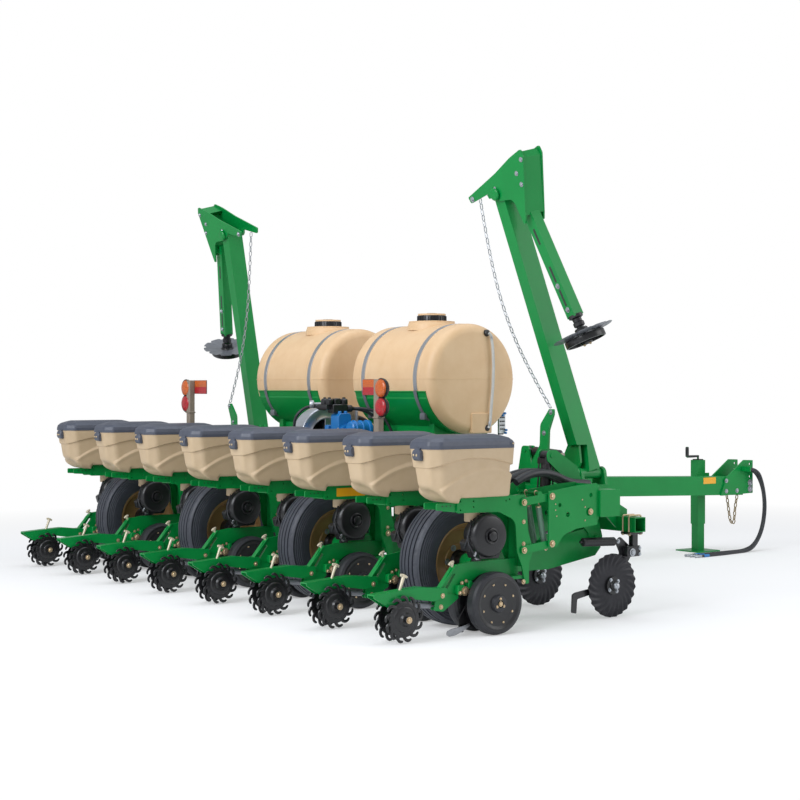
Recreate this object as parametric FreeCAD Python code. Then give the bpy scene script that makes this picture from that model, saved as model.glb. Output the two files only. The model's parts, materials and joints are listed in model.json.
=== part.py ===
import FreeCAD, Part
import math
import os

# Trailed precision planter, eight rows, millimetres. +X is forward, +Y is left, +Z is up, ground at z = 0.
# Everything is drawn from the toolbar's centre line and moved to the row frame when it is written.
V = FreeCAD.Vector

# Driving dimensions
row_count = 8
row_pitch = 762
rear_reach = 1901
front_reach = 4475
running_gap = 0.3

bar_size = 178
bar_z = 808
bar_overhang = 133
bar_wall = 8

gauge_x = -995
gauge_radius = 203
gauge_lift = 1
gauge_in = 52
gauge_width = 100
axle_radius = 16
opener_radius = 190
opener_angle = 5
opener_thick = 4

closing_x = -1687
closing_radius = 150
closing_body = 97
closing_teeth = 13
closing_in = 50
closing_thick = 16
closing_arm_half = 38
shank_half = 12
shank_top = 470

frame_half = 68
frame_plate = 12
rail_z = 891
link_rear_x = -735
link_front_x = -508
link_upper_rear_z = 841
link_lower_rear_z = 527
link_rise = 32
spring_top = (-576, 800)
spring_low = (-523, 545)
spring_radius = 19
spring_y = 50
link_radius = 14

hopper_front = -870
hopper_rear = -1525
hopper_half = 150
hopper_base_half = 128
hopper_rim_z = 1205
hopper_wall = 6
hopper_chamfer = 62
hopper_back_half = 22
lid_height = 88
hopper_dip_x = -1400
hopper_step_x = -1300
hopper_dip_z = 862
hopper_step = 5
seed_gate = 4
lid_overhang = 7
lid_rib = 4
lid_hinge_x = -850
lid_hinge_z = 1230
meter_x = -1045
meter_z = 640
meter_radius = 145

tyre_radius = 430
tyre_width = 205
rim_radius = 254
wheel_x = -915
wheel_track_rows = (1, 3)
wheel_arm_gap = 16
wheel_arm_width = 80
wheel_pivot_x = 150
wheel_pivot_z = 538
stub_radius = 35
wheel_pin = 22
lift_pin = 15
mast_in = 42
mast_out = 54
lift_top_x = -262
lift_top_z = 1128
lift_low_x = -300
lift_low_z = 600

coulter_bar_size = 102
coulter_bar_x = 330
coulter_bar_z = 640
coulter_bar_inset = 50
coulter_x = 142
coulter_radius = 220
coulter_lift = 5

tongue_size = 178
tongue_top_z = 852
tongue_slope = 1.76
hitch_plate = 16
hitch_rear = 4023
hitch_hole_x = 4435
hitch_hole_radius = 14
hitch_hole_low = 599
hitch_hole_pitch = 61
hitch_holes = 5
hose_start_x = 4330
hose_pitch = 30
hose_end_x = 3550

jack_x = 3980
jack_crank = 150
jack_outer = 98
jack_wall = 6
jack_top = 885
jack_bottom = 265
jack_foot = 300

tank_radius = 420
tank_length = 1055
tank_x = 51
tank_y = 732
tank_z = 1658
tank_round = 70
saddle_thick = 8
saddle_half = 462

marker_lean = 14.3
marker_pivot_in = 555
marker_pivot_z = 975
marker_x = 314
marker_ear_rear = 205
marker_ear_front = 423
ear_thick = 24
arm_top_in = 316
arm_top_h = 2079
arm_wide = 150
arm_deep = 100
marker_eye_in = 126
marker_eye_z = 1096
marker_stroke_y = 266
marker_stroke_z = -16
marker_base_in = 595
marker_cyl_x = 259
marker_eye_swing = 210
marker_disc_radius = 222
marker_wheel_radius = 145
lamp_x = -920
lamp_past_row = 240
lamp_heights = (1453, 1587)
lamp_radius = 66
lamp_post_top = 1652
fan_x = -540
fan_y = -60
fan_z = 1190
fan_radius = 240
pump_x = -520
pump_past_row = 59
pump_z = 1250

# Places that follow from them
toolbar_x = (rear_reach - front_reach) / 2
row_y = [(i - (row_count - 1) / 2) * row_pitch for i in range(row_count)]
bar_half = row_y[-1] + bar_overhang
bar_top = bar_z + bar_size / 2
bar_low = bar_z - bar_size / 2
bar_front = bar_size / 2
bar_rear = -bar_size / 2
gauge_z = gauge_radius + gauge_lift
closing_z = closing_radius + 2
coulter_z = coulter_radius + coulter_lift
coulter_bar_end = bar_half - coulter_bar_inset
hanger_lines = (0.25 * row_pitch, 2 * row_pitch, 2.69 * row_pitch, 3.36 * row_pitch)
wheel_tracks = [rows * row_pitch for rows in wheel_track_rows]
link_upper_front_z = link_upper_rear_z + link_rise
link_lower_front_z = link_lower_rear_z + link_rise
hopper_base_z = rail_z + running_gap
meter_top = meter_z + meter_radius
marker_pivot_y = bar_half - marker_pivot_in
arm_top_y = marker_pivot_y - arm_top_in
marker_eye_y = marker_pivot_y - marker_eye_in
marker_base_y = marker_pivot_y - marker_base_in
marker_base_z = marker_eye_z - (marker_eye_y - marker_base_y) * marker_stroke_z / marker_stroke_y
lamp_y = 1.5 * row_pitch + lamp_past_row
pump_y = -0.5 * row_pitch - pump_past_row
tongue_half = tongue_size / 2
lean = math.radians(marker_lean)


def box(x0, x1, y0, y1, z0, z1):
    return Part.makeBox(x1 - x0, y1 - y0, z1 - z0, V(x0, y0, z0))


def rod(radius, start, end):
    run = end - start
    return Part.makeCylinder(radius, run.Length, start, run)


def rod_y(radius, x, z, y0, y1):
    return Part.makeCylinder(radius, y1 - y0, V(x, y0, z), V(0, 1, 0))


def face_of(outline, place):
    """A flat outline of (a, b) corners; a third number rounds that corner to a radius."""
    spots = [place(*corner[:2]) for corner in outline]
    edges, ends = [], []
    for i, corner in enumerate(outline):
        spot = spots[i]
        if len(corner) == 2:
            ends.append((spot, spot))
            continue
        into, out = (spots[i - 1] - spot).normalize(), (spots[(i + 1) % len(spots)] - spot).normalize()
        half = into.getAngle(out) / 2
        cut, reach = corner[2] / math.tan(half), corner[2] / math.sin(half)
        first, last = spot + into * cut, spot + out * cut
        centre = spot + (into + out).normalize() * reach
        edges.append(Part.Arc(first, centre + (spot - centre).normalize() * corner[2], last).toShape())
        ends.append((first, last))
    for (_, start), (end, _) in zip(ends, ends[1:] + ends[:1]):
        if start.distanceToPoint(end) > 0.001:
            edges.append(Part.LineSegment(start, end).toShape())
    return Part.Face(Part.Wire(Part.__sortEdges__(edges)))


def plate_y(outline, y0, y1):
    """An (x, z) outline, y0 to y1 thick."""
    return face_of(outline, lambda x, z: V(x, y0, z)).extrude(V(0, y1 - y0, 0))


def plate_x(outline, x0, x1):
    """A (y, z) outline, x0 to x1 thick."""
    return face_of(outline, lambda y, z: V(x0, y, z)).extrude(V(x1 - x0, 0, 0))


def turned_y(profile, x, z, y=0):
    """A (radius, y) profile turned about the line through (x, z)."""
    turned = face_of(profile, lambda radius, along: V(radius, along, 0)).revolve(V(), V(0, 1, 0), 360)
    turned.translate(V(x, y, z))
    return turned


def fuse(pieces):
    return pieces[0].multiFuse(pieces[1:]).removeSplitter()


def moved(shape, x=0, y=0, z=0):
    copy = shape.copy()
    copy.translate(V(x, y, z))
    return copy


def mirrored(shape):
    return shape.mirror(V(), V(0, 1, 0))


def both(shape):
    return [shape, mirrored(shape)]


def at_rows(shapes):
    return [moved(shape, y=y) for y in row_y for shape in shapes]


def square_tube(size, wall, x, z, y0, y1):
    half = size / 2
    outer = box(x - half, x + half, y0, y1, z - half, z + half)
    inner = box(x - half + wall, x + half - wall, y0 - 1, y1 + 1, z - half + wall, z + half - wall)
    return outer.cut(inner)


def bent_tube(points, radius, share=0.45):
    """Straight runs joined by tangent arcs, each as large as its two runs allow."""
    points = [V(*p) for p in points]
    edges, start, radii = [], points[0], []
    for before, corner, after in zip(points, points[1:], points[2:]):
        into = (corner - before).normalize()
        out = (after - corner).normalize()
        turn = into.getAngle(out)
        cut = share * min((corner - before).Length, (after - corner).Length)
        bend = cut / math.tan(turn / 2)
        first, last = corner - into * cut, corner + out * cut
        inward = (out - into).normalize()
        centre = corner + inward * (bend / math.cos(turn / 2))
        edges.append(Part.LineSegment(start, first).toShape())
        edges.append(Part.Arc(first, centre - inward * bend, last).toShape())
        start = last
        radii.append(round(bend))
    edges.append(Part.LineSegment(start, points[-1]).toShape())
    path = Part.Wire(edges)
    ring = Part.Wire(Part.Circle(points[0], points[1] - points[0], radius).toShape())
    print("bends", radii, "length", round(path.Length))
    return path.makePipeShell([ring], True, False)


def marker_place(shape):
    """From (forward, out, up the arm) to the planter: the marker leans back about its foot."""
    shape.rotate(V(), V(0, 1, 0), -marker_lean)
    shape.translate(V(marker_x, 0, marker_pivot_z))
    return shape


def marker_plate(outline, low, high):
    """An outline of (out from the foot pin, up the arm), in the marker's own leaning plane."""
    flat = face_of(outline, lambda y, h: V(low, marker_pivot_y + y, h))
    return marker_place(flat.extrude(V(high - low, 0, 0)))


# Toolbar with what is welded or clamped to it
def marker_mount():
    """Two ears for the arm's foot pin and two for the cylinder's base pin, on a table in front of the bar."""
    rear, front = marker_ear_rear - ear_thick / 2, marker_ear_front + ear_thick / 2
    y0, y1 = marker_pivot_y - 75, marker_pivot_y + 75
    pieces = [box(bar_front, front, y0, y1, bar_low + 40, bar_top)]
    ear = [(y0, bar_top - 40), (y1, bar_top - 40), (marker_pivot_y + 52, marker_pivot_z + 42, 44),
           (marker_pivot_y - 52, marker_pivot_z + 42, 44)]
    for x in (rear, front - ear_thick):
        pieces.append(plate_x(ear, x, x + ear_thick))
    foot_y = marker_base_y
    lug = [(foot_y - 110, bar_top - 60), (foot_y + 110, bar_top - 60),
           (foot_y + 38, marker_base_z + 35, 30), (foot_y - 38, marker_base_z + 35, 30)]
    for x in (marker_cyl_x - 35, marker_cyl_x + 21):
        pieces.append(plate_x(lug, x, x + 14))
    pieces.append(Part.makeCylinder(12, 86, V(marker_cyl_x - 43, foot_y, marker_base_z), V(1, 0, 0)))
    pieces.append(box(bar_front, marker_cyl_x + 35, foot_y - 110, foot_y + 110, bar_top - 76,
                      bar_top - 56))
    return pieces


def chain_post():
    """The bent bar beside the marker's foot that holds the lower end of its chain."""
    outline = [(-225, bar_top), (-115, bar_top), (-100, 1060, 60), (-38, 1150, 60), (-32, 1290, 60),
               (17, 1400), (17, 1440, 8), (-24, 1440, 4), (-118, 1330, 60), (-124, 1180, 60),
               (-215, 1060, 60)]
    return plate_x([(marker_pivot_y + y, *rest) for y, *rest in outline], -45, -25)


def wheel_mount(side_y):
    """Two ears under the bar for a wheel arm whose middle is at side_y, and a mast for its cylinder."""
    half = wheel_arm_width / 2
    ear = [(bar_rear + 20, bar_low), (bar_front, bar_low), (bar_front, bar_top - 30),
           (bar_front + 20, bar_top - 30), (wheel_pivot_x + 62, wheel_pivot_z + 10, 50),
           (wheel_pivot_x + 45, wheel_pivot_z - 50, 40), (wheel_pivot_x - 45, wheel_pivot_z - 50, 40),
           (wheel_pivot_x - 70, wheel_pivot_z + 40, 40)]
    ears = [plate_y(ear, side_y - half - running_gap - 12, side_y - half - running_gap),
            plate_y(ear, side_y + half + running_gap, side_y + half + running_gap + 12)]
    mast = [(bar_rear, bar_top - 120), (bar_rear + 120, bar_top), (bar_rear + 60, bar_top + 150),
            (lift_top_x + 36, lift_top_z + 38, 34), (lift_top_x - 36, lift_top_z + 36, 34),
            (lift_top_x - 40, lift_top_z - 36, 20), (bar_rear - 40, bar_top + 60),
            (bar_rear - 12, bar_top - 120)]
    masts = [plate_y(mast, side_y - mast_out, side_y - mast_in),
             plate_y(mast, side_y + mast_in, side_y + mast_out)]
    pin = rod_y(lift_pin, lift_top_x, lift_top_z, side_y - mast_out - 6, side_y + mast_out + 6)
    hinge = rod_y(wheel_pin, wheel_pivot_x, wheel_pivot_z, side_y - half - 30, side_y + half + 30)
    return ears + masts + [pin, hinge]


def coulter_hanger(y):
    low = coulter_bar_z - coulter_bar_size / 2
    outline = [(bar_front, bar_low + 8), (bar_front, bar_top - 30), (bar_front + 40, bar_top - 30),
               (coulter_bar_x + 51, coulter_bar_z + 95), (coulter_bar_x + 51, coulter_bar_z + 51),
               (coulter_bar_x - 51, coulter_bar_z + 51), (coulter_bar_x - 51, low + 20),
               (bar_front + 60, bar_low + 8)]
    return plate_y(outline, y - 8, y + 8)


def toolbar():
    tube = square_tube(bar_size, bar_wall, 0, bar_z, -bar_half + 6, bar_half - 6)
    ends = [box(bar_rear, bar_front, bar_half - 6, bar_half, bar_low, bar_top)]
    half_pieces = ends + marker_mount() + [chain_post()]
    for track in wheel_tracks:
        half_pieces += wheel_mount(arm_line(track))
    half_pieces += [coulter_hanger(y) for y in hanger_lines]
    pieces = [tube]
    for piece in half_pieces:
        pieces += both(piece)
    pieces += [fan_bracket(), pump_bracket()]
    return [fuse(pieces)]


def arm_line(track):
    return track + tyre_width / 2 + wheel_arm_gap + wheel_arm_width / 2


def fan_bracket():
    shelf = fan_z - fan_radius - 32
    side = [(bar_rear, bar_low + 60), (bar_rear, bar_top), (bar_rear + 60, bar_top),
            (bar_rear + 60, bar_top + 12), (bar_rear - 60, bar_top + 12, 60), (fan_x + 60, shelf + 12),
            (fan_x - 60, shelf + 12), (fan_x - 60, shelf), (fan_x + 120, shelf)]
    return fuse([plate_y(side, fan_y - 60, fan_y - 48), plate_y(side, fan_y + 48, fan_y + 60),
                 box(fan_x - 60, fan_x + 90, fan_y - 60, fan_y + 60, shelf, shelf + 12)])


def pump_bracket():
    shelf = pump_z - 130
    side = [(20, bar_top), (bar_rear, bar_top), (bar_rear, bar_top + 52, 14), (pump_x + 60, pump_z - 160),
            (pump_x - 90, shelf), (pump_x - 90, shelf + 12), (pump_x + 90, shelf + 12),
            (20, bar_top + 62)]
    return fuse([plate_y(side, pump_y - 70, pump_y - 60), plate_y(side, pump_y + 60, pump_y + 70),
                 box(pump_x - 90, pump_x + 90, pump_y - 70, pump_y + 70, shelf, shelf + 12)])


# Tongue, hitch plates and jack
def tongue_line(x):
    return tongue_top_z - (x - bar_front) * math.tan(math.radians(tongue_slope))


def tongue():
    end = hitch_rear + 330
    wall = 8
    outer = [(bar_front, tongue_line(bar_front)), (end, tongue_line(end)),
             (end, tongue_line(end) - tongue_size), (bar_front, tongue_line(bar_front) - tongue_size)]
    start = bar_front + wall
    inner = [(start, tongue_line(start) - wall), (end + 1, tongue_line(end) - wall),
             (end + 1, tongue_line(end) - tongue_size + wall),
             (start, tongue_line(start) - tongue_size + wall)]
    hollow = plate_y(inner, wall - tongue_half, tongue_half - wall)
    beam = plate_y(outer, -tongue_half, tongue_half).cut(hollow)
    side = [(hitch_rear, 547, 8), (front_reach, 559, 8), (front_reach, 879, 8), (4352, 884, 20),
            (4105, tongue_line(4105) - 8)]
    pieces = [beam]
    for y in (-tongue_half - hitch_plate, tongue_half):
        cheek = plate_y(side, y, y + hitch_plate)
        for i in range(hitch_holes):
            z = hitch_hole_low + i * hitch_hole_pitch
            cheek = cheek.cut(rod_y(hitch_hole_radius, hitch_hole_x, z, y - 1, y + hitch_plate + 1))
        pieces.append(cheek)
    gusset = [(bar_front, bar_low + 6), (bar_front, bar_top - 30), (bar_front + 60, bar_top - 30),
              (bar_front + 620, 800), (bar_front + 620, 720), (bar_front + 60, bar_low + 6)]
    pieces += both(plate_y(gusset, tongue_half, tongue_half + 12))
    jack_y = tongue_half + 14 + jack_outer / 2
    outer_half, inner_half = jack_outer / 2, jack_outer / 2 - jack_wall
    sleeve = box(jack_x - outer_half, jack_x + outer_half, jack_y - outer_half, jack_y + outer_half,
                 jack_bottom, jack_top)
    bore = box(jack_x - inner_half, jack_x + inner_half, jack_y - inner_half, jack_y + inner_half,
               jack_bottom - 1, jack_top - 60)
    plate = box(jack_x - 90, jack_x + 90, tongue_half, jack_y - outer_half, 560, 760)
    crank = fuse([rod(10, V(jack_x, jack_y, jack_top), V(jack_x, jack_y, jack_top + 40)),
                  rod(9, V(jack_x + 8, jack_y, jack_top + 36),
                      V(jack_x - jack_crank, jack_y, jack_top + 36)),
                  rod(12, V(jack_x - jack_crank, jack_y, jack_top + 30),
                      V(jack_x - jack_crank, jack_y, jack_top + 130))])
    holder = box(hose_start_x - 12, hose_start_x, -tongue_half - hitch_plate - 104,
                 -tongue_half - hitch_plate, 775, 825)
    pieces += [sleeve.cut(bore), plate, crank, holder]
    return [fuse(pieces)]


def jack_leg():
    jack_y = tongue_half + 14 + jack_outer / 2
    half = jack_outer / 2 - jack_wall - running_gap
    leg = box(jack_x - half, jack_x + half, jack_y - half, jack_y + half, 12, jack_bottom + 170)
    foot = box(jack_x - jack_foot / 2, jack_x + jack_foot / 2, jack_y - jack_foot / 2,
               jack_y + jack_foot / 2, 0, 12)
    return [fuse([leg, foot])]


# Carrying wheels
def transport_wheel(track):
    half = tyre_width / 2
    rim = rim_radius
    outline = [(stub_radius + running_gap, -half + 10), (75, -half + 10), (75, -half + 30),
               (110, -half + 60), (rim - 30, -half + 60), (rim - 12, -half + 12), (rim + 12, -half + 6),
               (rim + 60, -half), (tyre_radius - 45, -half + 2), (tyre_radius - 10, -half + 22),
               (tyre_radius, -half + 50), (tyre_radius, half - 50), (tyre_radius - 10, half - 22),
               (tyre_radius - 45, half - 2), (rim + 60, half), (rim + 12, half - 6),
               (rim - 12, half - 12), (rim - 30, half - 100), (110, half - 100), (75, half - 40),
               (75, half - 10), (stub_radius + running_gap, half - 10)]
    return turned_y(outline, wheel_x, tyre_radius, track)


def wheel_arm(track):
    middle = arm_line(track)
    half = wheel_arm_width / 2
    outline = [(205, 590), (205, 470), (153, 417), (-281, 349), (-600, 352), (-950, 372), (-980, 430),
               (-950, 488), (-600, 500), (-340, 545), (-340, 590), (-262, 590), (-240, 560), (60, 610)]
    arm = plate_y(outline, middle - half, middle + half)
    arm = arm.cut(rod_y(22 + running_gap, wheel_pivot_x, wheel_pivot_z, middle - half - 1,
                        middle + half + 1))
    stub = rod_y(stub_radius, wheel_x, tyre_radius, track - tyre_width / 2 + 12, middle)
    collar = rod_y(60, wheel_x, tyre_radius, track + tyre_width / 2 - 9, middle)
    return fuse([arm, stub, collar])


def lift_cylinder(track):
    """Barrel from the mast pin, rod down to the arm, standing 0.3 mm off the arm's top."""
    middle = arm_line(track)
    top, low = V(lift_top_x, middle, lift_top_z), V(lift_low_x, middle, lift_low_z)
    along = (low - top).normalize()
    barrel = rod(38, top + along * 24, top + along * 330)
    shaft = rod(20, top + along * 320, low)
    eye = rod_y(30, lift_top_x, lift_top_z, middle - 40, middle + 40)
    foot = rod_y(28, lift_low_x, lift_low_z + 18.5, middle - 25, middle + 25)
    eye = fuse([eye, barrel, shaft, foot])
    return eye.cut(rod_y(15 + running_gap, lift_top_x, lift_top_z, middle - 41, middle + 41))


# Row units
def row_frame():
    """Rails with their front plates, the shank casting, closing arm, wheel axle and the opener's blade."""
    inner, outer = frame_half, frame_half + frame_plate
    cheek = [(-1285, rail_z, 8), (-1285, 794, 14), (-940, 788, 20), (-800, 726, 70), (-786, 520, 30),
             (-744, 424, 20), (-716, 306, 12), (-684, 306, 12), (-684, 440, 30), (-652, 505, 25),
             (-658, 560, 30), (-692, 650, 60), (-704, 840, 12), (-716, rail_z, 6)]
    plate = plate_y(cheek, inner, outer)
    for x, z in ((-1258, 868), (-1258, 812), (-1150, 866), (-1150, 830), (-880, 858), (-850, 866),
                 (-676, 520)):
        plate = plate.cut(rod_y(6, x, z, inner - 1, outer + 1))
    tail = [(-1250, 860), (-1440, 860, 8), (-1440, 818, 8), (-1250, 806)]
    pieces = both(plate) + both(plate_y(tail, inner - 10, inner))
    pieces.append(box(-740, -722, -inner, inner, 420, 800))
    pieces.append(box(-1290, -1278, -inner, inner, 800, 858))
    shank = [(-722, shank_top), (-1130, shank_top, 60), (-1245, 455, 40), (-1290, 425, 30),
             (-1392, 285, 12), (-1380, 172, 12), (-1335, 172, 12), (-1300, 236, 30), (-1222, 262, 50),
             (-1120, 345, 60), (-1040, 372), (-1036, 188, 22), (-954, 188, 22), (-950, 378), (-722, 352)]
    casting = plate_y(shank, -shank_half, shank_half)
    slot = [(-1262, 408, 7), (-1244, 400, 7), (-1318, 300, 7), (-1334, 308, 7)]
    pieces.append(casting.cut(plate_y(slot, -shank_half - 1, shank_half + 1)))
    pieces.append(box(-820, -722, -inner, inner, 340, 360))
    pieces.append(rod_y(axle_radius, gauge_x, gauge_z, -gauge_in - 74, gauge_in + 74))
    pieces += closing_arm()
    shoe = [(-1020, 260), (-1110, 250, 20), (-1215, 100, 20), (-1200, 20, 6), (-1176, 20, 6),
            (-1140, 90, 30), (-1020, 200)]
    pieces.append(plate_y(shoe, -6, 6))
    return fuse(pieces)


def closing_arm():
    """A channel open below on a bracket bolted to the shank; a drop plate holds the wheels' axle."""
    half, wall = closing_arm_half, 8
    side = [(-1330, 318, 10), (-1330, 262, 10), (-1440, 242), (-1600, 268, 40), (-1706, 240, 40),
            (-1790, 228, 6), (-rear_reach, 296, 4), (-rear_reach, 316, 4), (-1690, 330, 80),
            (-1540, 338, 80), (-1400, 322, 60)]
    hollow = plate_y([(x, z - wall) for x, z, *_ in side], wall - half, half - wall)
    arm = plate_y(side, -half, half).cut(hollow)
    drop = [(-1640, 330), (-1735, 324), (closing_x - 30, closing_z - 26, 22),
            (closing_x + 30, closing_z - 26, 22)]
    bracket = [(-1230, 262, 12), (-1400, 300, 12), (-1425, 180, 14), (-1350, 168, 14), (-1225, 246, 12)]
    web = [(-1380, 322), (-1340, 322), (-1340, 250), (-1380, 250)]
    return [arm, plate_y(drop, -10, 10), plate_y(web, -half, half),
            plate_y(bracket, shank_half, shank_half + 8), plate_y(bracket, -shank_half - 8, -shank_half),
            rod_y(14, closing_x, closing_z, -112, 112)]


def opener_disc():
    """One leaning disc with its bearing hub; the pair pinch together at the front."""
    offset = 1 + opener_radius * math.sin(math.radians(opener_angle)) + opener_thick / 2
    profile = [(axle_radius + 2, -opener_thick / 2), (opener_radius - 12, -opener_thick / 2),
               (opener_radius, opener_thick / 2 - 0.6), (opener_radius, opener_thick / 2),
               (58, opener_thick / 2), (50, 18), (axle_radius + 2, 18)]
    disc = turned_y(profile, 0, 0)
    disc.rotate(V(), V(0, 0, 1), -opener_angle)
    disc.translate(V(gauge_x, offset, gauge_z))
    return disc


def opener_discs():
    return both(opener_disc())


def gauge_wheel():
    """Rubber rim, dished plate towards the outside and a bolted hub."""
    low, high = gauge_in, gauge_in + gauge_width
    r = gauge_radius
    profile = [(axle_radius + running_gap, high - 52), (46, high - 52), (46, high - 30),
               (r - 52, high - 30), (r - 44, low + 4), (r - 20, low), (r - 4, low + 14), (r, low + 30),
               (r, high - 30), (r - 6, high - 10), (r - 22, high), (r - 40, high), (r - 50, high - 18),
               (62, high - 18), (52, high + 8), (24, high + 14), (24, high + 2),
               (axle_radius + running_gap, high + 2)]
    return turned_y(profile, gauge_x, gauge_z)


def closing_wheel():
    """A cast disc with hooked teeth that trail as it rolls."""
    low, high = closing_in, closing_in + closing_thick
    r, body, bore = closing_radius, closing_body, 14 + running_gap
    tooth = [(body - 6, -14), (r - 22, -3, 14), (r - 2, 15, 5), (r - 6, 27, 5), (r - 22, 14, 12),
             (body + 12, 14, 6), (body - 6, 15)]
    spike = face_of(tooth, lambda x, z: V(x, low + 3, z)).extrude(V(0, closing_thick - 6, 0))
    hub = turned_y([(bore, low - 16), (40, low - 16), (46, low), (body - 22, low + 4), (body - 18, low),
                    (body, low), (body, high), (body - 18, high), (body - 22, high - 4), (46, high),
                    (34, high + 26), (bore, high + 26)], 0, 0)
    pieces = [hub]
    for i in range(closing_teeth):
        copy = spike.copy()
        copy.rotate(V(), V(0, 1, 0), 360 * i / closing_teeth)
        pieces.append(copy)
    wheel = fuse(pieces)
    wheel.translate(V(closing_x, 0, closing_z))
    return wheel


def linkage():
    """Head bracket on the bar, two pairs of parallel arms and the two down pressure springs between them."""
    inner = frame_half + frame_plate + 21
    back = bar_rear - 12
    head = [(link_front_x - 30, link_upper_front_z + 34, 14), (-300, bar_top + 38, 200),
            (back, bar_top + 50, 10), (back, bar_low - 54, 8), (-290, 648, 160), (-405, 612, 80),
            (-470, link_lower_front_z - 22, 24), (link_front_x - 30, link_lower_front_z - 22, 16)]
    side = plate_y(head, inner, inner + 10)
    for x, z, radius in ((-176, 756, 28), (-160, 868, 15), (-440, 812, 14), (-368, 746, 17)):
        side = side.cut(rod_y(radius, x, z, inner - 1, inner + 11))
    pieces = both(side)
    pieces.append(box(back, bar_rear, -inner - 10, inner + 10, bar_low - 20, bar_top + 40))
    pieces.append(rod_y(14, -300, 720, -inner, inner))
    for z_rear, z_front in ((link_upper_rear_z, link_upper_front_z),
                            (link_lower_rear_z, link_lower_front_z)):
        bar = [(link_rear_x - 26, z_rear + 26, 22), (link_rear_x - 26, z_rear - 26, 22),
               (link_front_x + 26, z_front - 26, 22), (link_front_x + 26, z_front + 26, 22)]
        pieces += both(plate_y(bar, inner - 20.5, inner - 8))
        pieces.append(rod_y(link_radius, link_front_x, z_front, -inner, inner))
        pieces.append(rod_y(link_radius, link_rear_x, z_rear, frame_half + frame_plate + running_gap,
                            inner - 4))
        pieces.append(rod_y(link_radius, link_rear_x, z_rear, -inner + 4,
                            -frame_half - frame_plate - running_gap))
    perch_x, perch_z = spring_top[0] - 25, spring_top[1] + 95
    perch = [(perch_x - 22, perch_z - 50), (perch_x + 34, perch_z - 46), (perch_x + 14, perch_z + 14, 12),
             (perch_x - 14, perch_z + 14, 12)]
    pieces += both(plate_y(perch, inner - 20.5, inner - 8))
    pieces += [rod_y(9, perch_x, perch_z, -inner + 9, inner - 9),
               rod_y(9, *spring_low, -inner + 9, inner - 9)]
    for y in (-spring_y, spring_y):
        top, low = V(spring_top[0], y, spring_top[1]), V(spring_low[0], y, spring_low[1])
        pieces += [rod(spring_radius, low, top), rod(6, top, V(perch_x, y, perch_z))]
    return fuse(pieces)


def hopper_section(inset, z):
    """The tub's plan at one height, with two cut corners at the back and all corners rounded."""
    share = (z - hopper_base_z) / (hopper_rim_z - hopper_base_z)
    half = hopper_base_half + (hopper_half - hopper_base_half) * share - inset
    front, rear = hopper_front - inset - 14 * (1 - share), hopper_rear + inset + 46 * (1 - share)
    cut = min(hopper_chamfer, half - hopper_back_half)
    plan = [(front, -half, 24), (front, half, 24), (rear + cut, half, 40), (rear, half - cut, 40),
            (rear, cut - half, 40), (rear + cut, -half, 40)]
    return face_of(plan, lambda x, y: V(x, y, z)).OuterWire


def tub(inset, top):
    """The tapered tub, cut below: level on the rails, a dip behind them and a slope up to the rear."""
    body = Part.makeLoft([hopper_section(inset, hopper_dip_z - 4), hopper_section(inset, top)], True,
                         True)
    wall = max(inset, 0)
    floor, dip, step = hopper_base_z + wall, hopper_dip_z + wall, hopper_step_x - wall
    under = [(-1800, 1130 + wall), (-1486, 945 + wall, 60), (hopper_dip_x, dip, 30), (step - 46, dip, 24),
             (step - 6, floor, 16), (-700, floor), (-700, 700), (-1800, 700)]
    return body.cut(plate_y(under, -200, 200))


def hopper_band(points):
    """A moulded step: the part of a slightly larger tub inside an outline that begins with an arc."""
    start, top, end = [V(x, -200, z) for x, z in points[:3]]
    corners = [end] + [V(x, -200, z) for x, z in points[3:]] + [start]
    edges = [Part.Arc(start, top, end).toShape()]
    edges += [Part.LineSegment(a, b).toShape() for a, b in zip(corners, corners[1:])]
    return tub(-hopper_step, hopper_rim_z - 6).common(Part.Face(Part.Wire(edges)).extrude(V(0, 400, 0)))


def hopper():
    """A moulded tub: an arched ledge, a ridge from the rear corner, a neck with its gate shut."""
    ledge = hopper_band([(-1560, 1068), (-1173, 1139), (-840, 1106), (-840, 1300), (-1560, 1300)])
    ridge = hopper_band([(-1490, 905), (-1223, 1039), (-840, 1040), (-840, 840), (-1490, 840)])
    neck = Part.makeCylinder(46, hopper_base_z - meter_top + 5, V(meter_x, -8, meter_top + running_gap))
    throat = Part.makeCylinder(40, 200, V(meter_x, -8, meter_top + running_gap + seed_gate))
    back, front = lid_hinge_x - 9, lid_hinge_x + 9
    lug = [(hopper_front - 3, hopper_rim_z - 70), (front, hopper_rim_z - 30), (front, lid_hinge_z + 10),
           (back, lid_hinge_z + 10), (back, hopper_rim_z - 1), (hopper_front - 3, hopper_rim_z - 1)]
    body = fuse([tub(0, hopper_rim_z), ledge, ridge, neck] + [plate_y(lug, y, y + 12) for y in (-70, 58)])
    body = body.cut(tub(hopper_wall, hopper_rim_z + 1)).cut(throat)
    return body.cut(rod_y(6 + running_gap, lid_hinge_x, lid_hinge_z, -80, 80))


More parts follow.
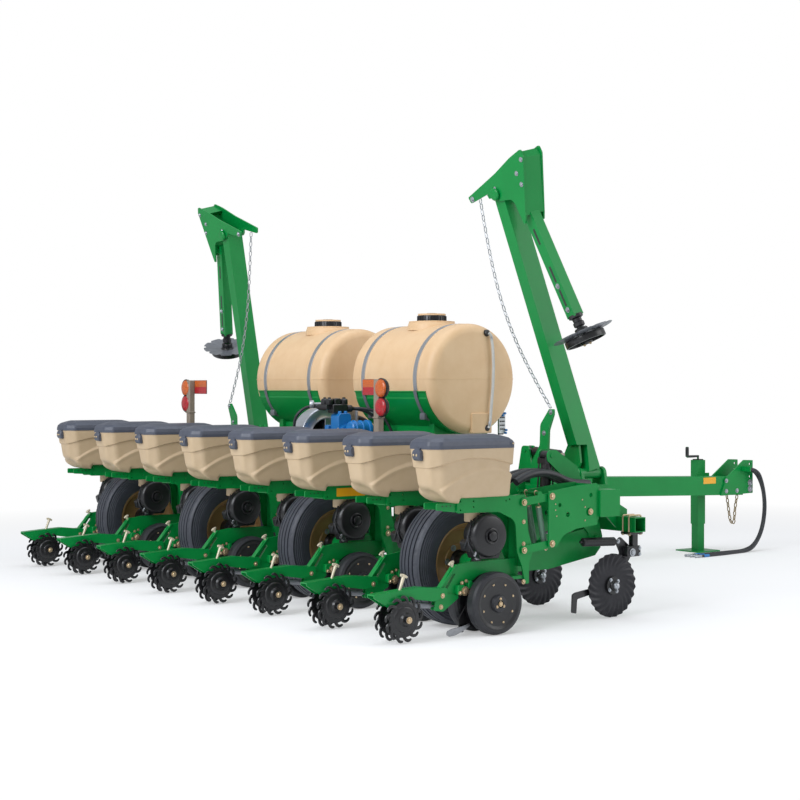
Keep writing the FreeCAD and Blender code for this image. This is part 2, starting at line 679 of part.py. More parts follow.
def hopper_lid():
    """A domed moulded cap, hollow below with stiffening ribs, on a pin at its front edge."""
    base = hopper_rim_z + running_gap
    steps = ((0, 0), (0, 22), (6, 46), (26, 66), (62, lid_height - 8), (92, lid_height))

    def dome(wall):
        wires = []
        for drop, rise in steps:
            wire = hopper_section(wall + drop - lid_overhang, hopper_rim_z)
            wire.translate(V(0, 0, rise + running_gap - (1 if wall and not rise else wall)))
            wires.append(wire)
        return Part.makeLoft(wires, True, True)

    tab = [(lid_hinge_x - 30, base + 2), (lid_hinge_x, lid_hinge_z - 9), (lid_hinge_x, lid_hinge_z + 9),
           (lid_hinge_x - 40, lid_hinge_z + 9)]
    tabs = [plate_y(tab, y, y + 20) for y in (-56, 36)]
    barrels = [rod_y(9, lid_hinge_x, lid_hinge_z, y, y + 20) for y in (-56, 36)]
    pin = rod_y(6, lid_hinge_x, lid_hinge_z, -72, 72)
    middle = (hopper_front + hopper_rear) / 2
    grid = [box(hopper_rear, hopper_front, y, y + lid_rib, base + 2, base + lid_height)
            for y in (-62, 58)]
    grid += [box(x, x + lid_rib, -hopper_half, hopper_half, base + 2,
                 base + lid_height) for x in (middle - 120, middle, middle + 120)]
    ribs = [rib.common(dome(4)) for rib in grid]
    return fuse([dome(0).cut(dome(5))] + ribs + tabs + barrels + [pin])


def seed_meter():
    profile = [(0, -150), (18, -150), (20, -138), (60, -134), (66, -128), (128, -120),
               (meter_radius, -106), (meter_radius, 34), (120, 48), (0, 48)]
    drum = turned_y(profile, meter_x, meter_z)
    chute = plate_y([(meter_x - 40, meter_z - 120), (meter_x + 30, meter_z - 120),
                     (meter_x + 8, shank_top + running_gap), (meter_x - 52, shank_top + running_gap)],
                    -14, 14)
    return fuse([drum, chute])


# Fertiliser coulters
def coulter_bars():
    tube = square_tube(coulter_bar_size, 6, coulter_bar_x, coulter_bar_z - 0.3, tongue_half + 40,
                       coulter_bar_end)
    return both(tube)


def coulter_shank():
    """Clamp on the bar, post, block, swing plate to the hub, its spring and the injector behind the disc."""
    bar_half_size = coulter_bar_size / 2 + running_gap
    back, front = coulter_bar_x - bar_half_size, coulter_bar_x + bar_half_size
    low = coulter_bar_z - bar_half_size
    clamp = box(back - 12, front + 12, -45, 45, low - 18, low - running_gap)
    straps = [box(front, front + 12, -45, 45, low - 18, coulter_bar_z + 70),
              box(back - 12, back, -45, 45, low - 18, coulter_bar_z + 70)]
    post = box(320, 370, -22, 22, 480, low - 10)
    block = box(262, 392, -30, 30, 415, 490)
    swing = [(338, 482, 16), (242, 556, 18), (196, 522, 18), (240, 440, 30), (110, 268, 24),
             (106, 196, 24), (176, 192, 24), (350, 418, 16)]
    side = -34
    axle = rod_y(15, coulter_x, coulter_z, side, 34)
    spring = rod(27, V(190, side + 6, 524), V(-112, side + 6, 536))
    spring_rod = rod(9, V(222, side + 6, 523), V(-132, side + 6, 537))
    pin = rod_y(18, 305, 446, side - 10, 34)
    injector = [(112, 232), (-178, 196, 12), (-206, 184, 10), (-212, 60, 8), (-168, 52, 8),
                (-160, 150, 14), (112, 196)]
    return fuse([clamp] + straps + [post, block, plate_y(swing, side, side + 12), axle, spring,
                                    spring_rod, pin, plate_y(injector, side, side + 12)])


def coulter_disc():
    """A thin disc with a bolted hub."""
    return turned_y([(15 + running_gap, -16), (60, -16), (64, -3), (coulter_radius - 8, -3),
                     (coulter_radius, -0.6), (coulter_radius, 0.6), (coulter_radius - 8, 3), (64, 3),
                     (60, 20), (32, 40), (15 + running_gap, 40)], coulter_x, coulter_z)


# Liquid tanks
def tank():
    half = tank_length / 2
    shell = Part.makeCylinder(tank_radius, tank_length, V(tank_x, tank_y - half, tank_z), V(0, 1, 0))
    shell = shell.makeFillet(tank_round, [e for e in shell.Edges if isinstance(e.Curve, Part.Circle)])
    collar = Part.makeCylinder(180, 70, V(tank_x, tank_y, tank_z + tank_radius - 40))
    lid = Part.makeCylinder(109, 70, V(tank_x, tank_y, tank_z + tank_radius + 20))
    return fuse([shell, collar, lid])


def tank_cradle():
    """A bent sheet under a tank on two ribs and a pedestal from the bar."""
    floor = tank_z - tank_radius - 40
    ring = rod_y(tank_radius + running_gap + saddle_thick, tank_x, tank_z, tank_y - saddle_half,
                 tank_y + saddle_half)
    pieces = [ring.common(box(tank_x - 400, tank_x + 400, tank_y - saddle_half, tank_y + saddle_half,
                              floor, tank_z - 95))]
    for y in (tank_y - 370, tank_y + 310):
        rib = ring.fuse(box(tank_x - 260, tank_x + 260, y, y + 60, floor, tank_z - 250))
        pieces.append(box(tank_x - 400, tank_x + 400, y, y + 60, floor, tank_z - 95).common(rib))
    for x in (tank_x - 230, tank_x + 150):
        pieces.append(box(x, x + 80, tank_y - 370, tank_y + 370, floor, tank_z - 330))
    leg = [(tank_x - 230, floor), (tank_x + 230, floor), (20, bar_top + 77, 60), (20, bar_top),
           (bar_rear, bar_top), (bar_rear, bar_top + 40)]
    legs = [plate_y(leg, y, y + 10) for y in (tank_y - 250, tank_y + 262)]
    saddle = fuse(pieces + legs)
    return saddle.cut(rod_y(tank_radius + running_gap, tank_x, tank_z, tank_y - 600, tank_y + 600))


# Fan, pump, lamps and air hoses
def fan_housing():
    scroll = rod_y(fan_radius, fan_x, fan_z, fan_y - 65, fan_y + 65)
    outlet = box(fan_x - 10, fan_x + fan_radius + 60, fan_y - 62, fan_y + 62, fan_z + 70,
                 fan_z + fan_radius - 6)
    intake = rod_y(110, fan_x, fan_z, fan_y - 100, fan_y - 60)
    motor = rod_y(60, fan_x, fan_z, fan_y + 60, fan_y + 210)
    base = box(fan_x - 60, fan_x + 90, fan_y - 60, fan_y + 60, fan_z - fan_radius - 20,
               fan_z - fan_radius + 40)
    return [fuse([scroll, outlet, intake, motor, base])]


def hydraulic_pump():
    x, y, z = pump_x, pump_y, pump_z
    shaft_z = z - 25
    return [fuse([box(x - 70, x + 70, y - 60, y + 60, z - 118, z - 100),
                  rod_y(78, x, shaft_z, y - 100, y + 60), rod_y(52, x, shaft_z, y + 60, y + 190),
                  box(x - 45, x + 45, y - 55, y + 35, z + 30, z + 100),
                  box(x - 40, x + 40, y - 50, y + 50, z - 110, z - 60)])]


def lamp_post():
    arm = box(lamp_x - 30, bar_rear, lamp_y - 43, lamp_y + 17, bar_top - 60, bar_top)
    post = box(lamp_x - 30, lamp_x + 20, lamp_y - 30, lamp_y + 30, bar_top - 10, lamp_post_top)
    lamps = []
    for z in lamp_heights:
        lamps.append(Part.makeCylinder(lamp_radius, 62, V(lamp_x - 92, lamp_y, z), V(1, 0, 0)))
    plate = box(lamp_x - 34, lamp_x - 26, lamp_y - 72, lamp_y + 72, lamp_heights[0] - 76, lamp_post_top)
    return fuse([arm, post, plate, lamps[0], lamps[1]])


def air_hoses():
    """From the blower's outlet down to the bar and along its front top edge."""
    mouth_z, bed_z = fan_z + 150, bar_top + 33
    return [bent_tube([(fan_x + fan_radius + 60, fan_y, mouth_z), (-130, fan_y, mouth_z),
                       (-25, -90, 1200), (25, -160, 1050), (58, -300, bed_z + 30), (66, -480, bed_z + 1),
                       (62, -900, bed_z), (68, -1300, bed_z + 2), (60, -1700, bed_z),
                       (64, -2010, bed_z + 1)], 30)]


# Row markers
def marker_barrel():
    base = V(marker_cyl_x, marker_base_y, marker_base_z)
    along = V(0, marker_stroke_y, marker_stroke_z).normalize()
    barrel = rod(34, base + along * 75, base + along * 345)
    neck = rod(14, base + along * 15, base + along * 80)
    barrel = barrel.cut(rod(17 + running_gap, base + along * 90, base + along * 346))
    eye = Part.makeCylinder(30, 30, base - V(15, 0, 0), V(1, 0, 0))
    bore = Part.makeCylinder(12 + running_gap, 40, base - V(20, 0, 0), V(1, 0, 0))
    return fuse([barrel, neck, eye]).cut(bore)


def marker_rod():
    base = V(marker_cyl_x, marker_base_y, marker_base_z)
    along = V(0, marker_stroke_y, marker_stroke_z).normalize()
    eye = V(marker_cyl_x, marker_eye_y, marker_eye_z)
    shaft = rod(17, base + along * 95, eye - along * 20)
    return fuse([shaft, Part.makeCylinder(30, 30, eye - V(15, 0, 0), V(1, 0, 0))])


def marker_arm():
    """The leaning main arm on its foot barrel, notched for the cylinder's rod, with lugs and a top pin."""
    half_x, half_y = arm_wide / 2, arm_deep / 2
    run = math.atan2(marker_pivot_y - arm_top_y, arm_top_h)
    side = V(0, math.cos(run), math.sin(run)) * half_y
    foot, top = V(0, marker_pivot_y, 20), V(0, arm_top_y, arm_top_h)
    corners = [(p.y, p.z) for p in (foot + side, foot - side, top - side, top + side)]
    beam = marker_place(face_of(corners, lambda y, h: V(-half_x, y, h)).extrude(V(arm_wide, 0, 0)))
    notch_front = marker_cyl_x + 18
    beam = beam.cut(Part.makeCylinder(marker_eye_swing, 150,
                                      V(notch_front - 150, marker_pivot_y, marker_pivot_z), V(1, 0, 0)))
    barrel = Part.makeCylinder(38, marker_ear_front - marker_ear_rear - ear_thick - 2 * running_gap,
                               V(marker_ear_rear + ear_thick / 2 + running_gap, marker_pivot_y,
                                 marker_pivot_z), V(1, 0, 0))
    lug = [(marker_pivot_y - 20, marker_pivot_z + 20), (marker_pivot_y + 10, marker_pivot_z + 80),
           (marker_pivot_y - 20, marker_pivot_z + 290), (marker_pivot_y - 75, marker_pivot_z + 290, 20),
           (marker_eye_y - 34, marker_eye_z + 20, 30), (marker_eye_y - 8, marker_eye_z - 38, 24)]
    lugs = [plate_x(lug, marker_cyl_x - 36, marker_cyl_x - 18),
            plate_x(lug, notch_front, notch_front + 18)]
    pin = marker_place(Part.makeCylinder(28, arm_wide + 50, V(-half_x - 25, arm_top_y, arm_top_h),
                                         V(1, 0, 0)))
    return fuse([beam, barrel] + lugs + [pin])


def marker_outer():
    """Bell crank head on the arm's top pin, lever inwards and the outer tube hanging outside."""
    half = arm_wide / 2
    head = [(-630, 2084, 10), (-292, 2222, 200), (-102, 2315), (25, 2362, 16), (45, 2310, 20),
            (-48, 1895), (-69, 1822, 10), (-144, 2026, 60), (-285, 2028, 60), (-350, 2044), (-405, 2088),
            (-608, 2038, 14)]
    cheeks = [marker_plate(head, half + 6, half + 18), marker_plate(head, -half - 18, -half - 6)]
    web = marker_plate([(-102, 2290), (17, 2345), (35, 2300), (-48, 1900), (-95, 1920), (-45, 2260)],
                       -half - 10, half + 10)
    hole = marker_place(Part.makeCylinder(28 + running_gap, arm_wide + 60,
                                          V(-half - 30, arm_top_y, arm_top_h), V(1, 0, 0)))
    end, run = marker_end(), marker_run()
    start = end - run * 880
    side = V(0, run.z, -run.y) * 42
    corners = [(p.y, p.z) for p in (start + side, start - side, end - side, end + side)]
    tube = marker_place(face_of(corners, lambda y, h: V(-42, y, h)).extrude(V(84, 0, 0)))
    stub = marker_place(rod(22, end - run * 20, disc_centre()))
    return fuse([fuse(cheeks + [web]).cut(hole), tube, stub])


def marker_run():
    return V(0, 246, -729).normalize()


def marker_end():
    return V(0, marker_pivot_y + 171, 1151)


def disc_centre():
    return marker_end() + marker_run() * 200


def marker_disc():
    centre, run = disc_centre(), marker_run()
    blade = Part.makeCylinder(marker_disc_radius, 6, centre - run * 60, run)
    wheel = Part.makeCylinder(marker_wheel_radius, 50, centre - run * 54, run)
    hub = Part.makeCylinder(48, 120, centre - run * 110, run)
    hole = Part.makeCylinder(22 + running_gap, 130, centre - run * 120, run)
    return marker_place(fuse([blade, wheel, hub]).cut(hole))


def marker_chain():
    route = [(-182, -627, 2975), (-150, -545, 2500), (-110, -395, 2050), (-70, -195, 1700),
             (-40, -10, 1447.6)]
    return bent_tube([(x, marker_pivot_y + y, z) for x, y, z in route], 12)


def safety_chain():
    return [bent_tube([(4290, 66, 542), (4290, 64, 440), (4298, 52, 330), (4308, 20, 300),
                       (4312, -16, 330), (4306, -44, 440), (4302, -60, 542)], 14)]


def hydraulic_hoses():
    hoses = []
    for i in range(3):
        y = -tongue_half - hitch_plate - 24 - hose_pitch * i
        hoses.append(bent_tube([(hose_start_x + running_gap, y, 800), (4450, y, 800), (4560, y - 20, 640),
                                (4590, y - 26, 420), (4540, y - 30, 200), (4430, y - 34, 60),
                                (4280, y - 40, 14), (4060, y - 46 - 12 * i, 14),
                                (3800, y - 60 - 24 * i, 14), (hose_end_x, y - 50 - hose_pitch * i, 14)],
                               13))
    return hoses


def hose_couplers():
    couplers = []
    for i in range(3):
        y = -tongue_half - hitch_plate - 24 - hose_pitch * i
        start = V(hose_end_x, y - 50 - hose_pitch * i, 14)
        toward = V(hose_end_x - 3800, 10 - (hose_pitch - 24) * i, 0).normalize()
        couplers.append(Part.makeCylinder(14, 90, start + V(0, 0, 0.2), toward))
    return couplers


nodes = {"toolbar": toolbar(), "tongue": tongue(), "jack_leg": jack_leg(),
         "wheel_arms": [s for t in wheel_tracks for s in both(wheel_arm(t))],
         "lift_cylinders": [s for t in wheel_tracks for s in both(lift_cylinder(t))],
         "parallel_linkages": at_rows([linkage()]), "row_frames": at_rows([row_frame()]),
         "opener_discs": at_rows(opener_discs()), "hoppers": at_rows([hopper()]),
         "seed_meters": at_rows([seed_meter()]), "coulter_bars": coulter_bars(),
         "coulter_shanks": at_rows([coulter_shank()]), "coulter_discs": at_rows([coulter_disc()]),
         "tanks": both(tank()), "tank_cradles": both(tank_cradle()),
         "fan_and_pump": fan_housing() + hydraulic_pump(), "lamp_posts": both(lamp_post()),
         "air_hose": air_hoses(), "marker_cylinders": both(marker_barrel()),
         "safety_chain": safety_chain(), "hydraulic_hoses": hydraulic_hoses(),
         "hose_couplers": hose_couplers(),}
for i, track in enumerate((-wheel_tracks[1], -wheel_tracks[0], wheel_tracks[0], wheel_tracks[1])):
    wheel = transport_wheel(abs(track))
    nodes[f"transport_wheel_{i + 1}"] = [wheel if track > 0 else mirrored(wheel)]
lid, gauge, closing = hopper_lid(), gauge_wheel(), closing_wheel()
for i, y in enumerate(row_y):
    nodes[f"hopper_lid_{i + 1}"] = [moved(lid, y=y)]
    nodes[f"gauge_wheels_{i + 1}"] = [moved(s, y=y) for s in both(gauge)]
    nodes[f"closing_wheels_{i + 1}"] = [moved(s, y=y) for s in both(closing)]
for name, shape in (("marker_arm", marker_arm()), ("marker_outer", marker_outer()),
                    ("marker_disc", marker_disc()), ("marker_rod", marker_rod()),
                    ("marker_chain", marker_chain())):
    nodes[name + "_left"] = [shape]
    nodes[name + "_right"] = [mirrored(shape)]

os.makedirs("parts", exist_ok=True)
for name, solids in nodes.items():
    whole = Part.makeCompound([moved(s, x=toolbar_x) for s in solids])
    whole.exportStep(f"parts/{name}.step")
print(len(nodes), "nodes,", sum(len(s) for s in nodes.values()), "solids")
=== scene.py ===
import json
import math

import bmesh
import bpy
import numpy as np
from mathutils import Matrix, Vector


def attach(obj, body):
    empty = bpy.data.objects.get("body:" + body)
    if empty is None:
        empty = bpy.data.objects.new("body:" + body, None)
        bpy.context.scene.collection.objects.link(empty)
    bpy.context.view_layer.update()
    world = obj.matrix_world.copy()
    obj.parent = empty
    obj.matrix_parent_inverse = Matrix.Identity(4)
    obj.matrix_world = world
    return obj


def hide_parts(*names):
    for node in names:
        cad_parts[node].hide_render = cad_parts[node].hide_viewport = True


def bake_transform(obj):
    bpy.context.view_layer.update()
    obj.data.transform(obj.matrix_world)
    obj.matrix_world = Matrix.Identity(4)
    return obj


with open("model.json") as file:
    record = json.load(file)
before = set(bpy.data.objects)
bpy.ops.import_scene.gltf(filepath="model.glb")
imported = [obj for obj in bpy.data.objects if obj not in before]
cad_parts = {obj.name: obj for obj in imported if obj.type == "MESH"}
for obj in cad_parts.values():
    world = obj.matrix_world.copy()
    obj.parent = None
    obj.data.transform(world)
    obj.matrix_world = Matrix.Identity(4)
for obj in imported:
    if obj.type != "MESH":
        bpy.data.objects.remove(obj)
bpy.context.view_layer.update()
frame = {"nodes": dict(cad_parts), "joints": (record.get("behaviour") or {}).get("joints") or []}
nodes = frame["nodes"]
jointAt = {j["name"]: np.array(j["pos_m"]) for j in frame["joints"] if "pos_m" in j}
rowCount = sum(name.startswith("hopper_lid_") for name in nodes)
rowY = [jointAt[f"gauge_wheels_{i + 1}_spin"][1] for i in range(rowCount)]
print("frame loaded,", len(nodes), "nodes")


# Colours and materials
def linear(hexColour, alpha=1.0):
    # sRGB hex to linear light
    srgb = np.array([int(hexColour[i:i + 2], 16) for i in (1, 3, 5)]) / 255
    return (*np.where(srgb <= 0.04045, srgb / 12.92, ((srgb + 0.055) / 1.055) ** 2.4), alpha)


def addNode(tree, kind, settings=None, links=None):
    # adds one shader node, sets its sockets or properties, and links outputs into its inputs
    node = tree.nodes.new(kind)
    for key, value in (settings or {}).items():
        if isinstance(key, str) and hasattr(node, key):
            setattr(node, key, value)
        else:
            node.inputs[key].default_value = value
    for key, socket in (links or {}).items():
        tree.links.new(socket, node.inputs[key])
    return node


def finish(name, base, second, spotMm, mix=0.5, metallic=0.0, roughness=0.4, roughSpread=0.08, bumpMm=0.2,
           grainMm=2.0, coat=0.0, extra=None):
    # base and second colour mottled at spotMm, roughness varied with it, and a fine bump at grainMm
    material = bpy.data.materials.new(name)
    material.use_nodes = True
    tree = material.node_tree
    shader = tree.nodes["Principled BSDF"]
    coords = addNode(tree, "ShaderNodeTexCoord")
    cloud = addNode(tree, "ShaderNodeTexNoise", {"Scale": 1000 / spotMm, "Detail": 4.0, "Roughness": 0.6},
                    {"Vector": coords.outputs["Object"]})
    ramp = addNode(tree, "ShaderNodeMapRange", {"From Min": 0.35, "From Max": 0.68, "To Max": mix},
                   {"Value": cloud.outputs["Fac"]})
    colours = addNode(tree, "ShaderNodeMix", {"data_type": "RGBA"}, {0: ramp.outputs["Result"]})
    colours.inputs[6].default_value = linear(base)
    colours.inputs[7].default_value = linear(second)
    tree.links.new(colours.outputs[2], shader.inputs["Base Color"])
    rough = addNode(tree, "ShaderNodeMapRange", {"To Min": roughness - roughSpread, "To Max": roughness + roughSpread},
                    {"Value": cloud.outputs["Fac"]})
    tree.links.new(rough.outputs["Result"], shader.inputs["Roughness"])
    grain = addNode(tree, "ShaderNodeTexNoise", {"Scale": 1000 / grainMm, "Detail": 2.0},
                    {"Vector": coords.outputs["Object"]})
    bump = addNode(tree, "ShaderNodeBump", {"Strength": 0.35, "Distance": bumpMm / 1000},
                   {"Height": grain.outputs["Fac"]})
    tree.links.new(bump.outputs["Normal"], shader.inputs["Normal"])
    shader.inputs["Metallic"].default_value = metallic
    shader.inputs["Coat Weight"].default_value = coat
    shader.inputs["Coat Roughness"].default_value = 0.12
    for key, value in (extra or {}).items():
        shader.inputs[key].default_value = value
    return material


# green powder coat over steel: deep, even, with a clear skin and faint orange peel
greenEnamel = finish("greenPowderCoat", "#01823a", "#038f41", 260, roughness=0.34, bumpMm=0.12,
                     grainMm=3.5, coat=0.1, extra={"Specular IOR Level": 0.3})
blackEnamel = finish("blackPowderCoat", "#17171a", "#222226", 120, roughness=0.38, bumpMm=0.1,
                     grainMm=3, coat=0.25)
castBlack = finish("paintedDuctileIron", "#101012", "#1c1c1f", 40, roughness=0.34, bumpMm=0.5,
                   grainMm=2.5, coat=0.15)
# rotomoulded polyethylene: matt, with a faint mottle from the mould
hopperPlastic = finish("rotomouldedHopper", "#c2ab8b", "#b8a07e", 90, roughness=0.5, bumpMm=0.15,
                       grainMm=1.6)
tankPlastic = finish("rotomouldedTank", "#dfbe95", "#d3ad80", 160, roughness=0.46, bumpMm=0.25,
                     grainMm=4)
lidPlastic = finish("blackPolyethylene", "#4c515e", "#41454f", 60, roughness=0.44, bumpMm=0.2,
                    grainMm=1.4)
meterPlastic = finish("blackNylon", "#151517", "#1e1e21", 50, roughness=0.32, bumpMm=0.1, grainMm=1.2)
tyreRubber = finish("tyreRubber", "#363941", "#464a54", 70, roughness=0.5, bumpMm=0.3, grainMm=1.5)
gaugeRubber = finish("gaugeWheelRubber", "#232428", "#303136", 50, roughness=0.5, bumpMm=0.2, grainMm=1.5)
hoseRubber = finish("hoseRubber", "#26282c", "#33353a", 20, roughness=0.4, bumpMm=0.15, grainMm=0.8)
rimPaint = finish("champagneRimPaint", "#b08a5c", "#9a754a", 110, roughness=0.35, metallic=0.25,
                  bumpMm=0.1, grainMm=2, coat=0.2)
galvanised = finish("hotDipZinc", "#b9bdc2", "#9da2a8", 9, roughness=0.38, metallic=0.9, bumpMm=0.15,
                    grainMm=1)
yellowZinc = finish("yellowZinc", "#cdb795", "#b39c7a", 7, roughness=0.36, metallic=0.75, bumpMm=0.1,
                    grainMm=0.8)
goldChain = finish("yellowChromatedChain", "#a88c58", "#7c6238", 12, roughness=0.4, metallic=0.5,
                   bumpMm=0.15, grainMm=1)
creamZinc = finish("creamZinc", "#d9cfb8", "#c4b89e", 9, roughness=0.4, metallic=0.4, bumpMm=0.1,
                   grainMm=0.8)
springSteel = finish("greyEnamelSpring", "#8d9098", "#787b83", 15, roughness=0.4, metallic=0.0,
                     bumpMm=0.1, grainMm=1)
discSteel = finish("blackenedBoronSteel", "#26262a", "#3a3a3e", 55, roughness=0.4, metallic=0.55,
                   bumpMm=0.15, grainMm=1.2)
barePlate = finish("wornBareSteel", "#a7a9ad", "#8b8d92", 25, roughness=0.34, metallic=0.9, bumpMm=0.1,
                   grainMm=0.9)
blowerAlloy = finish("castAluminium", "#c4c8ce", "#aeb2b8", 30, roughness=0.3, metallic=0.85,
                     bumpMm=0.15, grainMm=1.5)
pumpBlue = finish("bluePumpEnamel", "#1670b5", "#1a7cc4", 40, roughness=0.36, bumpMm=0.25, grainMm=2,
                  coat=0.3)
chromeRod = finish("hardChrome", "#d4d6da", "#c8cace", 30, roughness=0.12, metallic=1.0, roughSpread=0.03,
                   bumpMm=0.02)
yellowSheet = finish("yellowReflector", "#f0ad12", "#e5a00c", 4, roughness=0.3, bumpMm=0.1,
                     grainMm=2.2, coat=0.5)
redLens = finish("redPrismLens", "#c3222c", "#6d0e12", 7, mix=0.9, roughness=0.3, bumpMm=0.6,
                 grainMm=4.5, coat=0.2)
amberLens = finish("amberPrismLens", "#d96a22", "#8a3a14", 7, mix=0.9, roughness=0.3, bumpMm=0.6,
                   grainMm=4.5, coat=0.2)
whitePlate = finish("whiteEnamelPlate", "#d9dde0", "#c9ced2", 30, roughness=0.35, bumpMm=0.05)
clearTube = finish("milkyVinylTube", "#c6c7c4", "#b4b5b1", 20, roughness=0.25, bumpMm=0.05, coat=0.3)
postPaint = finish("taupeEnamel", "#8c8072", "#7b7063", 40, roughness=0.45, bumpMm=0.1)
greyEnamel = finish("greyEnamel", "#6d7076", "#5e6167", 50, roughness=0.4, bumpMm=0.1, coat=0.2)
print("materials ready")

# Shapes: a shape is (points, faces); points are an array, faces are rows of point numbers
acrossMachine = (0, 1.0, 0)


def gridFaces(rows, columns, wrapRows, wrapColumns):
    # quads between neighbouring rows and columns of a grid of points
    i = np.arange(rows if wrapRows else rows - 1)[:, None]
    j = np.arange(columns if wrapColumns else columns - 1)[None, :]
    a, b = i * columns + j, ((i + 1) % rows) * columns + j
    c, d = ((i + 1) % rows) * columns + (j + 1) % columns, i * columns + (j + 1) % columns
    return np.stack([a, b, c, d], -1).reshape(-1, 4).tolist()


def grid(points, wrapRows=False, wrapColumns=False, capRows=False):
    # a surface over a (rows, columns, 3) array; capRows closes the first and last row with a face
    rows, columns = points.shape[:2]
    faces = gridFaces(rows, columns, wrapRows, wrapColumns)
    if capRows:
        faces += [list(range(columns)), list(range((rows - 1) * columns, rows * columns))[::-1]]
    return points.reshape(-1, 3), faces


def prism(corners, shifts, base=0):
    # an outline of points repeated at each shift, closed at both ends
    return grid(base + np.stack([np.array(corners) + shift for shift in shifts]), wrapColumns=True, capRows=True)


def joined(shapes):
    # several shapes as one, their point numbers shifted
    starts = np.cumsum([0] + [len(points) for points, _ in shapes])
    faces = [[start + k for k in face] for start, (_, part) in zip(starts, shapes) for face in part]
    return np.concatenate([points for points, _ in shapes]), faces


def shifted(shape, x=0.0, y=0.0, z=0.0):
    return shape[0] + np.array([x, y, z]), shape[1]


def mirroredY(shape):
    return shape[0] * [1, -1, 1], [face[::-1] for face in shape[1]]


def basis(direction):
    # two unit vectors square to a direction and to each other
    d = np.array(direction, float) / np.linalg.norm(direction)
    side = np.cross(d, [0, 0, 1.0] if abs(d[2]) < 0.9 else [1.0, 0, 0])
    side /= np.linalg.norm(side)
    return d, side, np.cross(d, side)


def lathe(profile, centre, axis, steps=48, closed=False):
    # a (radius, along) profile turned about an axis: centre + along*axis + radius*(cos a, sin a)
    profile = np.array(profile, float)
    d, side, up = basis(axis)
    angle = np.linspace(0, 2 * math.pi, steps, endpoint=False)[:, None, None]
    points = (np.array(centre) + profile[None, :, 1:] * d
              + profile[None, :, :1] * (np.cos(angle) * side + np.sin(angle) * up))
    faces = gridFaces(steps, len(profile), True, closed)
    if not closed:
        first = [k * len(profile) for k in range(steps)]
        last = [k * len(profile) + len(profile) - 1 for k in range(steps)]
        faces += [first[::-1], last]
    return points.reshape(-1, 3), faces


def roundAngles(count):
    return np.arange(count) * 2 * math.pi / count


def rounded(profile, radius, steps=4):
    # an outline with each corner replaced by an arc-like curve of that radius (quadratic through the corner)
    profile = np.array(profile, float)
    before, after = np.roll(profile, 1, 0), np.roll(profile, -1, 0)
    into, out = before - profile, after - profile
    lenIn, lenOut = np.linalg.norm(into, axis=1), np.linalg.norm(out, axis=1)
    cut = np.minimum(radius, 0.45 * np.minimum(lenIn, lenOut))[:, None]
    start, end = profile + into / lenIn[:, None] * cut, profile + out / lenOut[:, None] * cut
    t = np.linspace(0, 1, steps)[None, :, None]
    curve = (1 - t) ** 2 * start[:, None] + 2 * t * (1 - t) * profile[:, None] + t ** 2 * end[:, None]
    return curve.reshape(-1, profile.shape[1])


def inset(outline, amount):
    # each point of a closed outline moved along the mean normal of its two sides
    side = np.roll(outline, -1, 0) - outline
    side /= np.linalg.norm(side, axis=1)[:, None] + 1e-12
    normal = np.stack([-side[:, 1], side[:, 0]], 1)
    mean = normal + np.roll(normal, 1, 0)
    area = np.sum(outline[:, 0] * np.roll(outline[:, 1], -1) - np.roll(outline[:, 0], -1) * outline[:, 1])
    mean /= np.maximum(np.sum(mean * normal, 1), 0.35)[:, None]
    return outline + mean * amount * np.sign(area)


def rectangle(x0, z0, x1, z1):
    return [(x0, z0), (x1, z0), (x1, z1), (x0, z1)]


def slab(outline, low, high, plane="xz", bevel=1.5):
    # an outline carried from low to high along the axis square to its plane, with softened edges
    outline = np.array(outline, float)
    small = inset(outline, bevel)
    rings = [(small, low), (outline, low + bevel), (outline, high - bevel), (small, high)]
    spots = {"xz": (0, 2, 1), "yz": (1, 2, 0), "xy": (0, 1, 2)}[plane]
    points = np.zeros((4, len(outline), 3))
    for k, (ring, along) in enumerate(rings):
        points[k, :, spots[0]], points[k, :, spots[1]], points[k, :, spots[2]] = ring[:, 0], ring[:, 1], along
    return grid(points, wrapColumns=True, capRows=True)


def block(low, high, bevel=3):
    # a box with softened edges
    outline = rounded(rectangle(low[0], low[2], high[0], high[2]), bevel * 2, 3)
    return slab(outline, low[1], high[1], bevel=bevel)


def tube(path, radius, sides=12, closed=False, reference=None):
    # a ring of points carried along a path; reference is a direction that the path never takes
    path = np.array(path, float)
    ahead = np.roll(path, -1, 0) - np.roll(path, 1, 0) if closed else np.gradient(path, axis=0)
    ahead /= np.linalg.norm(ahead, axis=1)[:, None]
    if reference is None:
        reference = np.linalg.svd(path - path.mean(0))[2][2]
    side = np.cross(ahead, reference)
    side /= np.linalg.norm(side, axis=1)[:, None]
    up = np.cross(ahead, side)
    angle = np.linspace(0, 2 * math.pi, sides, endpoint=False)[None, :, None]
    radius = np.broadcast_to(np.array(radius, float), (len(path),))[:, None, None]
    points = path[:, None] + radius * (np.cos(angle) * side[:, None] + np.sin(angle) * up[:, None])
    return grid(points, wrapRows=closed, wrapColumns=True, capRows=not closed)


def closeCoil(start, end, radius, depth, turns):
    # a close-wound spring as a tube with one ripple a turn
    steps = turns * 4 + 1
    ripple = radius - depth * (0.5 + 0.5 * np.cos(np.arange(steps) * math.pi / 2))
    return tube(start + (end - start) * np.linspace(0, 1, steps)[:, None], ripple, 14, reference=acrossMachine)


